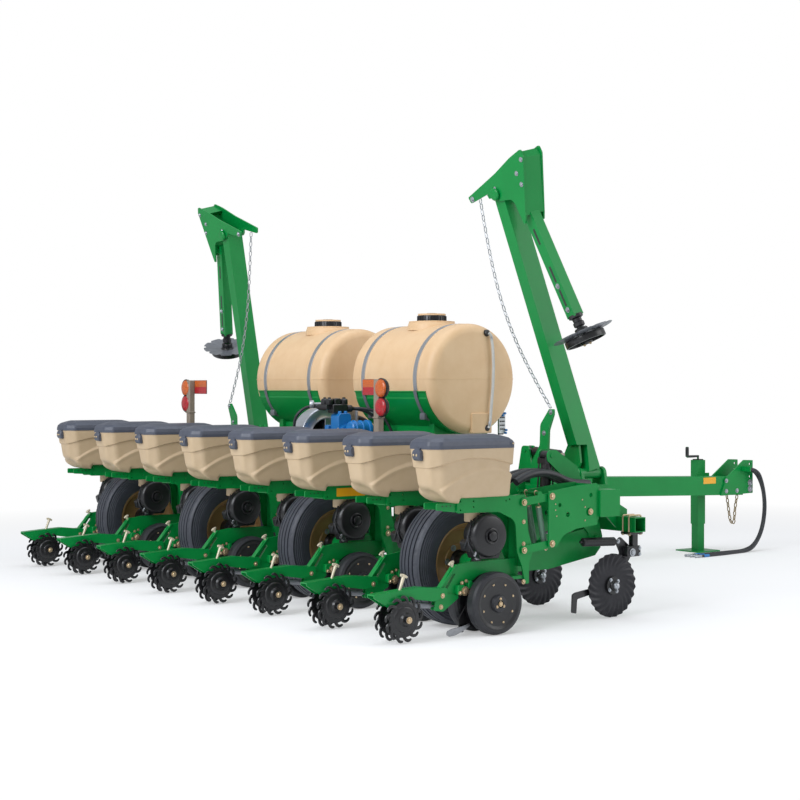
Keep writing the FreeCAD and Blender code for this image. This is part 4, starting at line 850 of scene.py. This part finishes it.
blocks = [block((-1250, -46, 268), (-1190, 46, 330), 5), block((-1160, -44, 300), (-1130, 44, 352), 4),
          block((-1130, -58, 318), (-1060, 58, 338), 4)]
rowPiece("gauge_stops", blocks, greenEnamel)
plugs = [lathe([(5, 0), (5, 1.5), (0.2, 1.5)], (x, railSide - 12, 842), (0, 1, 0), 10) for x in (-1330, -1362, -1394)]
rowPiece("rail_plugs", bothSides(plugs), blackEnamel, 30)
reflector = slab(rounded(rectangle(-1180, 812, -930, 872), 4), -railSide - 1.6, -railSide - 0.2, bevel=0.4)
addPiece("rail_reflector", fromBar([reflector], rowY[2]), "frame", yellowSheet, 0)
print("row frames ready")

# Gauge wheels: face bolts; the frame's own axle nut stands in the middle
gauge = {"x": -995, "z": 204}
face = turned([(56, 135), (56, 141), (116, 141), (144, 144), (163, 152.4), (172, 153.6), (177, 151.4), (176, 149),
               (60, 133)], gauge["x"], 0, gauge["z"], 56, closed=True)
shapes = [bolt((x, 142, z), (0, 1, 0), 9, 5) for x, z in arcPoints(gauge["x"], gauge["z"], 130, 18.6, 333.6, 8)]
shapes += [bolt((x, 164, z), (0, 1, 0), 11, 6) for x, z in arcPoints(gauge["x"], gauge["z"], 32, 90, 330, 3)]
shapes.append(bolt((gauge["x"], 164, gauge["z"]), (0, 1, 0), 19, 11))
eachRow({"gauge_wheel_faces": (bothSides([face]), "gauge_wheels", castBlack, 40),
         "gauge_wheel_bolts": (bothSides(shapes), "gauge_wheels", yellowZinc, 30)})
print("gauge wheels ready")

# Closing wheels: a cast disc with a raised face, and round fingers that stand out of its edge and hook over
closer = {"x": -1687, "z": 152, "middle": 58, "teeth": 13}
finger = tube([(98, 0, -14), (116, 0, -10), (129, 0, -2), (137, 0, 10), (138.5, 0, 24), (134, 0, 36), (131, 0, 40)],
              [13, 12, 11, 10.5, 9.5, 8, 4], 8, reference=(0, 1, 0))
disc = turned([(15, 42), (38, 42), (44, 50), (100, 50), (112, 53), (115, 58), (112, 63), (102, 66), (84, 67), (80, 73),
               (72, 76), (46, 76), (42, 80), (36, 94), (15, 94)], 0, 0, 0, 52, closed=True)
wheel = [disc]
for angle in roundAngles(closer["teeth"]):
    turn = np.array([[math.cos(angle), 0, -math.sin(angle)], [0, 0.78, 0], [math.sin(angle), 0, math.cos(angle)]])
    wheel.append((finger[0] @ turn.T + [0, closer["middle"], 0], finger[1]))
pairOfWheels = bothSides([shifted(joined(wheel), closer["x"], 0, closer["z"])])
eachRow({"hooked_wheels": (pairOfWheels, "closing_wheels", castBlack, 40)}, replaces=True)
print("closing wheels ready")

# Parallel linkages: head plate bolts, close-coiled springs and their hooks
plateSide = 111
shapes = bolts([(-508, plateSide, 873, 26), (-508, plateSide, 559, 26), (-164, plateSide, 756, 24)])
shapes += bolts([(-480, plateSide, 780, 9), (-480, plateSide, 820, 9), (-470, plateSide, 740, 9),
                 (-215, plateSide, 790, 10), (-215, plateSide, 700, 10), (-240, plateSide, 840, 9)], height=4,
                washer=False)
rowPiece("linkage_bolts", bothSides(shapes), yellowZinc, 30)
top, low = np.array([-576.0, 50, 800]), np.array([-523.0, 50, 545])
coil = closeCoil(low, top, 20.5, 2.2, 42)
rowPiece("down_springs", bothSides([coil]), springSteel, 80)
hookLines = [
    barLine([(-576, 50, 806), (-572, 50, 832), (-588, 50, 850), (-606, 50, 872), (-612, 50, 905), (-596, 50, 914),
             (-586, 50, 896), (-596, 50, 872)]),
    barLine([(-523, 50, 540), (-524, 50, 524), (-510, 50, 508), (-500, 50, 522), (-508, 50, 536)])]
hooks = [tube(line, 4.5, 8, reference=acrossMachine) for line in hookLines]
hooks += [lathe([(0.5, -6), (14, -6), (19, 0), (19, 8), (0.5, 8)], spot, spot - other, 16)
          for spot, other in ((top, low), (low, top))]
rowPiece("spring_hooks", bothSides(hooks), yellowZinc, 60)
print("linkages ready")

# Coulters: fluted discs, their hub bolts, the bars' U-bolts and the coil springs
coulter = {"x": 142, "z": 225, "radius": 220, "flutes": 24, "wave": 7.0, "sweep": 1.1}


def turboDisc():
    # a flat middle, then waves whose crests sweep back as they near the rim
    radius = np.concatenate([[28, 120], np.linspace(135, coulter["radius"], 9)])[None, :]
    angle = np.linspace(0, 2 * math.pi, coulter["flutes"] * 8, endpoint=False)[:, None]
    share = np.clip((radius - 130) / (coulter["radius"] - 130), 0, 1)
    wave = coulter["wave"] * share ** 0.8 * np.sin(coulter["flutes"] * (angle + coulter["sweep"] * share * 0.28))
    thick = np.where(radius > coulter["radius"] - 1, 0.8, 2.4)
    faces = [np.stack([coulter["x"] + radius * np.cos(angle), wave + way * thick,
                       coulter["z"] + radius * np.sin(angle)], -1) for way in (-1, 1)]
    return grid(np.concatenate([faces[0], faces[1][:, ::-1]], 1), wrapRows=True, wrapColumns=True)


rowPiece("fluted_discs", [turboDisc()], discSteel, 50, ["coulter_discs"])
pivotX, pivotZ = 305, 446
hub = [turned([(0.5, 42), (14, 42), (26, 36), (34, 28), (36, 20), (62, 18), (64, 4), (64, -6), (40, -14), (20, -20),
               (0.5, -20)], coulter["x"], 0, coulter["z"], 36)]
rowPiece("coulter_hubs", [mirroredY(joined(hub))], castBlack)
swing = rounded([(338, 482), (242, 556), (196, 522), (240, 440), (110, 268), (106, 196), (176, 192), (350, 418)], 16)
injector = rounded([(112, 232), (-178, 196), (-206, 184), (-212, 60), (-168, 52), (-160, 150), (112, 196)], 9, 3)
arms = [slab(swing, 22, 34, bevel=2), slab(injector, 22, 34, bevel=2), block((266, -45, 570), (394, 45, 588), 2),
        block((320, -22, 480), (370, 22, 572), 3), block((262, -30, 415), (392, 30, 490), 6),
        turned([(0.5, -34), (15, -34), (15, 34), (0.5, 34)], coulter["x"], 0, coulter["z"], 20),
        turned([(0.5, -40), (16, -40), (18, -38), (18, 40), (0.5, 42)], pivotX, 0, pivotZ, 24),
        tube([(226, 28, 522.9), (-132, 28, 537)], 9, 12)]
rowPiece("coulter_arms", arms, blackEnamel, 35, ["coulter_shanks"])
cap = lathe([(24, 0), (24, 8), (20, 15), (12, 20), (0.4, 22)], (coulter["x"], -40, coulter["z"]), (0, -1, 0), 20)
spots = arcPoints(coulter["x"], coulter["z"], 49, 35, 305, 4)
shapes = [cap] + [bolt((x, -18, z), (0, -1, 0), 15, 10) for x, z in spots]
shapes += [turned([(20, -38), (27, -37), (27, -31), (20, -30)], pivotX, 0, pivotZ, 28, closed=True)]
shapes += [bolt(spot, (0, -1, 0), across, height) for spot, across, height in (
    ((pivotX, -40, pivotZ), 18, 6), ((221, 22, 524), 18, 10), ((378, -31, 472), 14, 8), ((378, -31, 430), 14, 8))]
rowPiece("coulter_bolts", shapes, galvanised, 30)
uBolts = []
for y in (-30, 30):
    ring = rounded(rectangle(272, 578, 388, 702), 16, 5)
    uBolts.append(tube(np.stack([ring[:, 0], np.full(len(ring), y), ring[:, 1]], 1), 6.5, 8, closed=True,
                       reference=acrossMachine))
uBolts += [bolt((x, y, 578), (0, 0, -1), 18, 14) for x in (276, 384) for y in (-30, 30)]
rowPiece("bar_bolts", uBolts, yellowZinc, 50)
coil = closeCoil(np.array([186.0, 28, 524]), np.array([-108.0, 28, 536]), 31, 4.5, 28)
rowPiece("coulter_springs", [coil], blackEnamel, 80)
print("coulters ready")

# Tanks: straps, lids, seams, sight tubes and green saddle sheets
tank = {"x": 51, "y": 732, "z": 1658, "radius": 420, "half": 527.5}
rim, saddleHalf = tank["radius"], 462
straps, tails, seams, sheets = [], [], [], []
for y in (-340, 340):
    straps.append(band(0, 0, rim + 0.3, -12, 192, y - 22, y + 22, 3, 56))
    tails += [band(0, 0, rim + 9.5, start, end, y - 20, y + 20, 3.5, 14) for start, end in ((-47, -12), (192, 227))]
    for x, z in arcPoints(0, 0, rim + 22, -40, 220, 2):
        tails.append(block((x - 17, y - 30, z - 26), (x + 17, y + 30, z + 26), 5))
    for edge in (-42, 42):
        ridge = [(418, edge - 7), (421.5, edge - 4), (422.5, edge), (421.5, edge + 4), (418, edge + 7)]
        seams.append(turned(ridge, 0, y, 0, 96))
plan = rounded(rectangle(-420.5, -527, 420.5, 527), 70, 10)
seams.append(tube(np.concatenate([plan, 0 * plan[:, :1]], 1), 2.4, 6, closed=True, reference=(0, 0, 1.0)))
seams.append(slab(rounded(rectangle(-29, -414, 167, -259), 10), 500, 540, bevel=6))
for x, z in arcPoints(0, 0, rim + 5, 193.2, 346.8, 2):
    sheets.append(tube([(x, y, z) for y in (-saddleHalf, 0, saddleHalf)], 5, 8))
sheets += [band(0, 0, rim + 0.6, start, start + 9, -saddleHalf, saddleHalf, 3, 6) for start in (193.2, 337.8)]
lids = [lathe([(0.5, 96), (40, 95), (66, 90), (88, 82), (92, 78), (108, 78), (112, 72), (112, 24), (0.5, 24)],
              (0, 0, rim), (0, 0, 1), 48)]
for angle in roundAngles(28):
    lids.append(lathe([(3.2, 30), (3.2, 70), (0.5, 73)], (113 * math.cos(angle), 113 * math.sin(angle), rim),
                      (0, 0, 1), 6))
seams.append(lathe([(196, -26), (190, 6), (184, 30), (180, 34), (178, 44), (150, 48), (120, 50), (112, 50)],
                   (0, 0, rim - 16), (0, 0, 1), 64))
grommets = [lathe([(26, -6), (26, 14), (20, 22), (0.5, 22)], (121, tank["half"] - 4, z), (0, 1, 0), 24)
            for z in (-375, 349)]
tankShapes = {"straps": (straps, galvanised, 30), "strap_tails": (tails, greyEnamel, 30),
              "seams": (seams, tankPlastic, 40), "saddles": (sheets, greenEnamel, 30),
              "lids": (lids, meterPlastic, 40), "grommets": (grommets, meterPlastic, 40)}
for name, (shapes, material, smooth) in tankShapes.items():
    sidePiece(f"tank_{name}", [shifted(joined(shapes), tank["x"], tank["y"], tank["z"])], material, smooth)
endY = tank["y"] + tank["half"]
sightAt = [(176, 2007), (196, 1990), (214, 1900), (222, 1760), (216, 1600), (200, 1450), (190, 1330), (174, 1283)]
sight = [tube([(x, endY + 24, z) for x, z in sightAt], 11.5, 12, reference=acrossMachine)]
sidePiece("tank_sight_tubes", sight, clearTube, 60)
fittings = [lathe([(12, 0), (12, 30), (9, 34)], (196, endY + 24, 1985), (0.3, 0, -1), 16),
            lathe([(12, 0), (12, 34), (9, 38)], (186, endY + 24, 1330), (-0.2, 0, -1), 16)]
sidePiece("sight_tube_fittings", fittings, galvanised, 40)
board = [slab(rounded(rectangle(366, 1236, 430, 1386), 5), -1176, -1166, bevel=1)]
knobs = [lathe([(9, 0), (9, 18), (4, 20)], (x, -1176, z), (0, -1, 0), 14)
         for x, z in ((388, 1392), (416, 1392), (396, 1376), (424, 1240), (430, 1262))]
pins = [lathe([(5, 0), (5, 8), (1, 9)], (x, -1176, z), (0, -1, 0), 10) for x in (380, 398, 414)
        for z in (1270, 1300, 1330, 1360)]
barPiece("manifold_board", board, whitePlate, 30)
barPiece("manifold_knobs", knobs, pumpBlue, 40)
barPiece("manifold_pins", pins + [block((372, -1166, 1226), (424, -1150, 1396), 3)], blackEnamel, 40)
print("tanks ready")

# Blower, pump and valve block
fan = {"x": -528, "y": -60, "z": 1190, "radius": 282, "inlet": 152, "blades": 26}


def scroll():
    # a snail housing: its outer radius grows steadily round the turn, and its edges are rolled
    steps = 96
    angle = np.linspace(0.9, 0.9 - 2 * math.pi, steps)[:, None]
    outer = fan["radius"] - 40 * (np.linspace(0, 1, steps)[:, None])
    share = [(0.0, 60, 0.0), (0.0, 4, -30), (0.0, 0, -62), (0.0, 12, -74), (0.0, 26, -66), (1.0, -22, -64),
             (1.0, -8, -70), (1.0, 0, -58), (1.0, 0, 56), (1.0, -10, 66), (1.0, -24, 64), (0.0, 24, 64),
             (0.0, 1 - fan["inlet"], 64)]
    radius = np.concatenate([fan["inlet"] + k * (outer - fan["inlet"]) + d for k, d, _ in share], 1)
    across = np.array([[a for _, _, a in share]]) + 0 * angle
    x, z = fan["x"] + radius * np.cos(angle), fan["z"] + radius * np.sin(angle)
    return grid(np.stack([x, fan["y"] + across, z], -1))


outlet = slab(rounded([(-545, 1262), (-235, 1262), (-235, 1426), (-420, 1426), (-545, 1400)], 12), fan["y"] - 60,
              fan["y"] + 60, bevel=4)
flange = block((-248, fan["y"] - 74, 1250), (-234, fan["y"] + 74, 1436), 3)
motor = [turned([(0.5, 50), (62, 50), (66, 60), (66, 196), (60, 206), (30, 210), (0.5, 210)], fan["x"], fan["y"],
                fan["z"], 40)]
motor += [turned([(64, y - 3), (73, y - 2), (73, y + 2), (64, y + 3)], fan["x"], fan["y"], fan["z"], 40, closed=True)
          for y in range(70, 200, 11)]
pedestal = slab([(-610, 940), (-440, 940), (-470, 985), (-580, 985)], fan["y"] - 60, fan["y"] + 60)
barPiece("blower_housing", [scroll(), outlet, flange, pedestal], blowerAlloy, 40, ["fan_and_pump"])
barPiece("blower_motor", motor, blackEnamel, 40)
blades = []
for angle in roundAngles(fan["blades"]):
    spin = np.array([[math.cos(angle), math.sin(angle)], [-math.sin(angle), math.cos(angle)]])
    ring = np.array([(80, -1.5), (146, -16), (146, -13), (80, 1.5)]) @ spin
    blades.append(slab(ring + [fan["x"], fan["z"]], fan["y"] - 40, fan["y"] + 40, bevel=0.4))
blades.append(turned([(0.5, -20), (24, -34), (30, -20), (80, 10), (148, 30), (0.5, 30)], fan["x"], fan["y"], fan["z"],
                     40))
barPiece("blower_impeller", blades, blackEnamel, 30)

pump = {"x": -580, "y": -405, "z": 1225}
body = [turned([(0.5, -100), (50, -100), (56, -94), (56, -88), (78, -84), (80, -76), (80, -2), (72, 6), (56, 10),
                (54, 60), (66, 64), (66, 80), (52, 84), (52, 176), (44, 188), (0.5, 190)], pump["x"], 0, pump["z"],
               48)]
body += [turned([(78, y - 2.5), (86, y - 1.5), (86, y + 1.5), (78, y + 2.5)], pump["x"], 0, pump["z"], 48, closed=True)
         for y in range(-76, -2, 9)]
tower = rounded([(-650, 1250), (-530, 1250), (-530, 1371), (-545, 1391), (-635, 1391), (-650, 1371)], 8)
body += [slab(tower, -60, 50, bevel=4),
         block((-655, 80, 1170), (-505, 130, 1300), 6), block((-610, -95, 1132), (-490, 40, 1150), 3),
         block((-605, -85, 1145), (-520, 30, 1165), 4)]
body += [lathe([(16, 0), (16, 18), (12, 22), (0.5, 22)], (x, y, 1387), (0, 0, 1), 16)
         for x in (-620, -565) for y in (-30, 20)]
body.append(lathe([(0.5, 0), (48, 0), (56, 8), (56, 30), (64, 34), (64, 44), (56, 48), (56, 90), (64, 94), (64, 104),
                   (56, 108), (56, 150), (66, 154), (66, 176), (52, 186), (0.5, 190)], (-610, -150, 1275), (1, 0, 0),
                  40))
barPiece("pump_body", [shifted(joined(body), y=pump["y"])], pumpBlue, 35, ["fan_and_pump"])
collar = [turned([(84, -60), (90, -58), (90, -44), (84, -42)], pump["x"], 0, pump["z"], 48, closed=True)]
collar += [bolt((x, -88, z), (0, -1, 0), 13, 8) for x, z in arcPoints(pump["x"], pump["z"], 66, 20, 320, 6)]
barPiece("pump_clamp", [shifted(joined(collar), y=pump["y"])], galvanised)
valves = [block((-680, -436, 1394), (-540, -358, 1462), 5), block((-655, -421, 1460), (-595, -371, 1508), 6),
          block((-722, -400, 1420), (-672, -300, 1462), 5)]
valves += [lathe([(25, 0), (30, 8), (30, 40), (24, 48), (12, 52), (12, 60), (0.5, 62)], (x, y, 1455), (0, 0, 1), 20)
           for x, y in ((-560, -405), (-690, -396), (-692, -336))]
valves += [lathe([(22, 0), (24, 8), (24, 34), (15, 46), (15, 60), (0.5, 60)], (x, -300, z), (0, 1, 0), 18)
           for x, z in ((-698, 1440), (-664, 1436))]
valves += [lathe([(24, 0), (28, 8), (28, 40), (15, 50), (15, 66), (0.5, 66)], (-540, y, 1428), (1, 0, 0), 18)
           for y in (-415, -375)]
barPiece("valve_block", valves, blackEnamel)
gauge = lathe([(0.5, 0), (27, 0), (30, 4), (30, 30), (26, 34), (12, 36), (12, 100)], (-738, -190, 1462),
              (1, -0.6, 0), 28)
barPiece("return_filter_cap", [gauge], galvanised, 40)
pumpLines = [
    [(-698, -242, 1440), (-700, -205, 1444), (-770, -165, 1436), (-840, -130, 1360), (-800, -60, 1200),
     (-700, -40, 1020), (-500, -30, 920), (-300, -30, 903)],
    [(-480, -415, 1428), (-390, -490, 1432), (-300, -560, 1380), (-230, -600, 1240), (-170, -600, 1050),
     (-120, -600, 925), (-40, -600, 912)],
    [(-480, -375, 1428), (-370, -420, 1420), (-290, -470, 1340), (-240, -500, 1200), (-180, -520, 1040),
     (-110, -520, 925), (-30, -520, 912)]]
barPiece("pump_pipes", [tube(barLine(points), 12, 10) for points in pumpLines], hoseRubber, 60)
print("blower and pump ready")

# Lamps: amber over red in black housings on a taupe post, with a two-colour reflector inside
lampY, housings, lenses = 1435, [], {}
posts = [slab(rounded(rectangle(-950, 836, -900, 1652), 6), 1353, 1413, bevel=4),
         block((-950, 1340, 830), (-89, 1400, 886), 5), block((-958, 1350, 1372), (-894, 1418, 1384), 3)]
for name, z, low, high in (("amber", 1587, 1594, 1650), ("red", 1453, 1538, 1594)):
    housings.append(lathe([(44, 0), (62, 6), (71, 18), (74, 36), (70, 42), (65, 38), (0.5, 38)], (-905, lampY, z),
                          (-1, 0, 0), 36))
    lenses[name] = [lathe([(65, 37), (63, 44), (54, 52), (34, 57), (0.5, 59)], (-905, lampY, z), (-1, 0, 0), 32),
                    block((-904, 1152, low), (-900, 1350, high), 1)]
housings.append(block((-900, 1150, 1536), (-896, 1392, 1652), 1))
sidePiece("lamp_posts_painted", posts, postPaint, 35, ["lamp_posts"])
sidePiece("lamp_housings", housings, meterPlastic, 40)
sidePiece("amber_lenses", lenses["amber"], amberLens, 40)
sidePiece("red_lenses", lenses["red"], redLens, 40)
print("lamps ready")

# Row markers, worked out in their own leaning plane
marker = {"x": 314, "z": 975, "lean": math.radians(14.3), "foot": 2245, "topY": 1929, "topH": 2079, "discY": 2479.9,
          "discH": 961.5, "blade": 222, "notches": 10}
runWay = np.array([0.0, 246, -729]) / math.hypot(246, 729)


def leaned(shapes):
    # from (forward, out, up the arm) to the planter: turned back about the foot pin's line
    points, faces = joined(shapes)
    c, s = math.cos(marker["lean"]), math.sin(marker["lean"])
    return np.stack([points[:, 0] * c - points[:, 2] * s + marker["x"], points[:, 1],
                     points[:, 0] * s + points[:, 2] * c + marker["z"]], 1), faces


def markerBlade(centre):
    # a dished blade whose rim drops in at each notch
    d, sideWay, up = basis(runWay)
    angle = np.linspace(0, 2 * math.pi, marker["notches"] * 12, endpoint=False)[:, None]
    phase = (angle * marker["notches"] / (2 * math.pi)) % 1
    rim = marker["blade"] - 26 * np.clip(1 - np.abs(phase - 0.5) / 0.16, 0, 1) ** 0.5
    shares = np.array([[0.14, 0.45, 0.8, 0.97, 1.0, 0.97, 0.8, 0.45, 0.14]])
    depths = np.array([[-56, -60, -68, -72, -73, -70, -64, -55, -51]])
    radius = rim * shares
    return grid(centre + radius[..., None] * (np.cos(angle)[..., None] * sideWay + np.sin(angle)[..., None] * up)
                + depths[..., None] * d, wrapRows=True, wrapColumns=True)


discAt = np.array([0, marker["discY"], marker["discH"]])
wheelRing = [(118, -52), (145, -50), (147, -46), (147, -8), (145, -4), (134, -2), (132, -30), (118, -34)]
nave = [(23, -112), (40, -112), (48, -104), (48, -70), (60, -58), (60, -40), (44, -34), (44, 0), (36, 10), (23, 10)]
depthWheel = [lathe(wheelRing, discAt, runWay, 56, closed=True), lathe(nave, discAt, runWay, 40, closed=True)]
d, sideWay, up = basis(runWay)
for angle in roundAngles(5):
    spoke = np.cos(angle) * sideWay + np.sin(angle) * up
    across = np.cross(spoke, d)
    corners = [spoke * r + across * w for r, w in ((40, -14), (128, -9), (128, 9), (40, 14))]
    depthWheel.append(prism(corners, [d * a for a in (-46, -30)], discAt))
yokeTop = discAt - d * 205
yoke = [lathe([(30, -10), (52, -6), (52, 16), (34, 24), (30, 60), (26, 90)], yokeTop, d, 28),
        lathe([(34, 0), (40, 6), (40, 30), (34, 36), (22, 40)], discAt - d * 122, -d, 28)]
hubBolts = [bolt(discAt + d * 10 + (np.cos(a) * sideWay + np.sin(a) * up) * 30, d, 13, 8) for a in roundAngles(4)]
cap = [(44, 0), (44, 10), (36, 18), (18, 20), (0.5, 20)]
pinCaps = [lathe(cap, (x, marker["topY"], marker["topH"]), (facing, 0, 0), 28) for x, facing in ((101, 1), (-101, -1))]
spots = ((1660, 2066, 24), (1930, 2120, 15), (2190, 2200, 20), (2220, 2120, 20), (2262, 2290, 20))
headBolts = [bolt((x, y, h), (facing, 0, 0), size, size * 0.55) for x, facing in ((93, 1), (-93, -1))
             for y, h, size in spots]
tubeEnd = np.array([0, marker["foot"] + 171, 1151.0])
# thin black sheets on the tube's sides at its slots: painted shade standing in for the open slots
tubeSlotShades = []
for reach in (150, 330, 620):
    spot = tubeEnd - runWay * reach
    for x in (42.2, -42.2):
        corners = [spot + [x, 0, 0] + runWay * a + np.cross(runWay, [1, 0, 0]) * b
                   for a, b in ((-60, -9), (-60, 9), (60, 9), (60, -9))]
        tubeSlotShades.append(prism(corners, [(k, 0, 0) for k in (-0.6, 0.6)]))
tubeBolts = [bolt(tubeEnd - runWay * reach + [x, 0, 0], (np.sign(x), 0, 0), 22, 14) for reach in (60, 240)
             for x in (43, -43)]
footCaps = [lathe([(48, 0), (48, 8), (40, 14), (20, 16), (0.5, 16)], (x, marker["foot"], 975), (facing, 0, 0), 32)
            for x, facing in ((435, 1), (193, -1))]
footCaps.append(bolt((283, 1650, 1131), (1, 0, 0), 26, 14))
postBolts = [bolt((x, y, z), (facing, 0, 0), 20, 12) for x, facing in ((-25, 1), (-45, -1))
             for y, z in ((2241, 1418), (2169, 1270))]


def ownSide(word, shapes):
    # shapes of the left marker, mirrored for the right one
    return fromBar([joined(shapes) if word == "left" else mirroredY(joined(shapes))])


leaningPieces = {
    "blade": ([markerBlade(discAt)], "disc", greyEnamel, 40), "depth_wheel": (depthWheel, "disc", castBlack, 35),
    "hub_bolts": (hubBolts, "disc", yellowZinc, 30), "yoke": (yoke, "outer", blackEnamel, 35),
    "pin_caps": (pinCaps, "arm", greenEnamel, 35), "head_bolts": (headBolts, "outer", galvanised, 30),
    "tube_slots": (tubeSlotShades, "outer", blackEnamel, 0), "tube_bolts": (tubeBolts, "outer", galvanised, 30)}
for word in ("left", "right"):
    for name, (shapes, part, material, smooth) in leaningPieces.items():
        body = f"marker_{part}_{word}"
        addPiece(f"marker_{name}_{word}", ownSide(word, [leaned(shapes)]), body, material, smooth,
                 [body] if name in ("blade", "depth_wheel") else ())
    addPiece(f"marker_foot_caps_{word}", ownSide(word, footCaps), "frame", greenEnamel)
    addPiece(f"chain_post_bolts_{word}", ownSide(word, postBolts), "frame", galvanised, 30)
print("markers ready")

# Lift cylinders: square end caps and tie rods
ties = []
top, low = np.array([-262.0, 0, 1128]), np.array([-300.0, 0, 600])
way = (low - top) / np.linalg.norm(low - top)
acrossWay = np.cross(way, [0, 1.0, 0])


def squareCap(reach, tall, half):
    ring = [acrossWay * a + np.array([0, b, 0]) for a, b in rounded(rectangle(-half, -half, half, half), 6, 3)]
    base = top + way * reach
    return prism(ring, (base, base + way * tall))


caps = [squareCap(24, 36, 46), squareCap(300, 34, 46),
        lathe([(28, 0), (30, 6), (26, 16)], top + way * 334, way, 24)]
for a in (-36, 36):
    for b in (-36, 36):
        spot = top + acrossWay * a + np.array([0, b, 0])
        ties += [tube([spot + way * 14, spot + way * 180, spot + way * 344], 6, 8),
                bolt(spot + way * 24, -way, 15, 10, False), bolt(spot + way * 334, way, 15, 10, False)]
besideWheel = 102.5 + 16 + 40
lifts = [shifted(joined(caps + ties), y=side * (track + besideWheel)) for track in (762, 2286) for side in (-1, 1)]
barPiece("lift_cylinder_caps", lifts, blackEnamel)

# Toolbar end, hitch and jack
ends = [slab(rounded(rectangle(-92, 716, 92, 900), 6), 2794, 2799.5, bevel=2)]
sidePiece("bar_end_covers", ends, greenEnamel)
hitchBolts = []
for z in (599, 660):
    for y in (-105, 105):
        hitchBolts += [bolt((4435, y, z), (0, np.sign(y), 0), 36, 20)]
hitchBolts += [bolt((x, y, z), (0, np.sign(y), 0), 24, 14) for x, z in ((4100, 590), (4250, 590), (4100, 690))
               for y in (-105, 105)]
barPiece("hitch_bolts", hitchBolts, galvanised, 30)
signs = [slab(rounded(rectangle(3800, 668, 3970, 728), 4), y0, y1, bevel=0.4)
         for y0, y1 in ((-90.6, -89.2), (89.2, 90.6))]
barPiece("tongue_reflector", signs, yellowSheet, 0)
jackX = 3980
rod = [(jackX, 152, 880), (jackX, 152, 921), (jackX - 80, 152, 921), (jackX - 150, 152, 921)]
crank = [tube(rod, 12, 10, reference=acrossMachine),
         lathe([(15, -40), (17, -30), (17, 40), (15, 52), (0.5, 56)], (jackX - 150, 152, 960), (0, 0, 1), 16),
         block((jackX - 38, 114, 884), (jackX + 38, 190, 894), 3)]
barPiece("jack_crank_grip", crank, blackEnamel, 40)

# Suction ducts: large moulded rubber bends from the bar's end to the meters
ducts = []
for k, radius in enumerate((27, 27, 20)):
    points = [(-640 - 20 * k, -2560 + 58 * k, 960 + 10 * k), (-560, -2560 + 58 * k, 1000 + 8 * k),
              (-420, -2552 + 56 * k, 1020 + 4 * k), (-280, -2540 + 54 * k, 1000), (-160, -2530 + 52 * k, 950),
              (-40, -2520 + 50 * k, 928 + 0.5 * k), (60, -2516 + 48 * k, 926)]
    ducts.append(tube(barLine(points), radius, 16))
barPiece("suction_ducts", ducts, hoseRubber, 60)
print("toolbar and hitch ready")
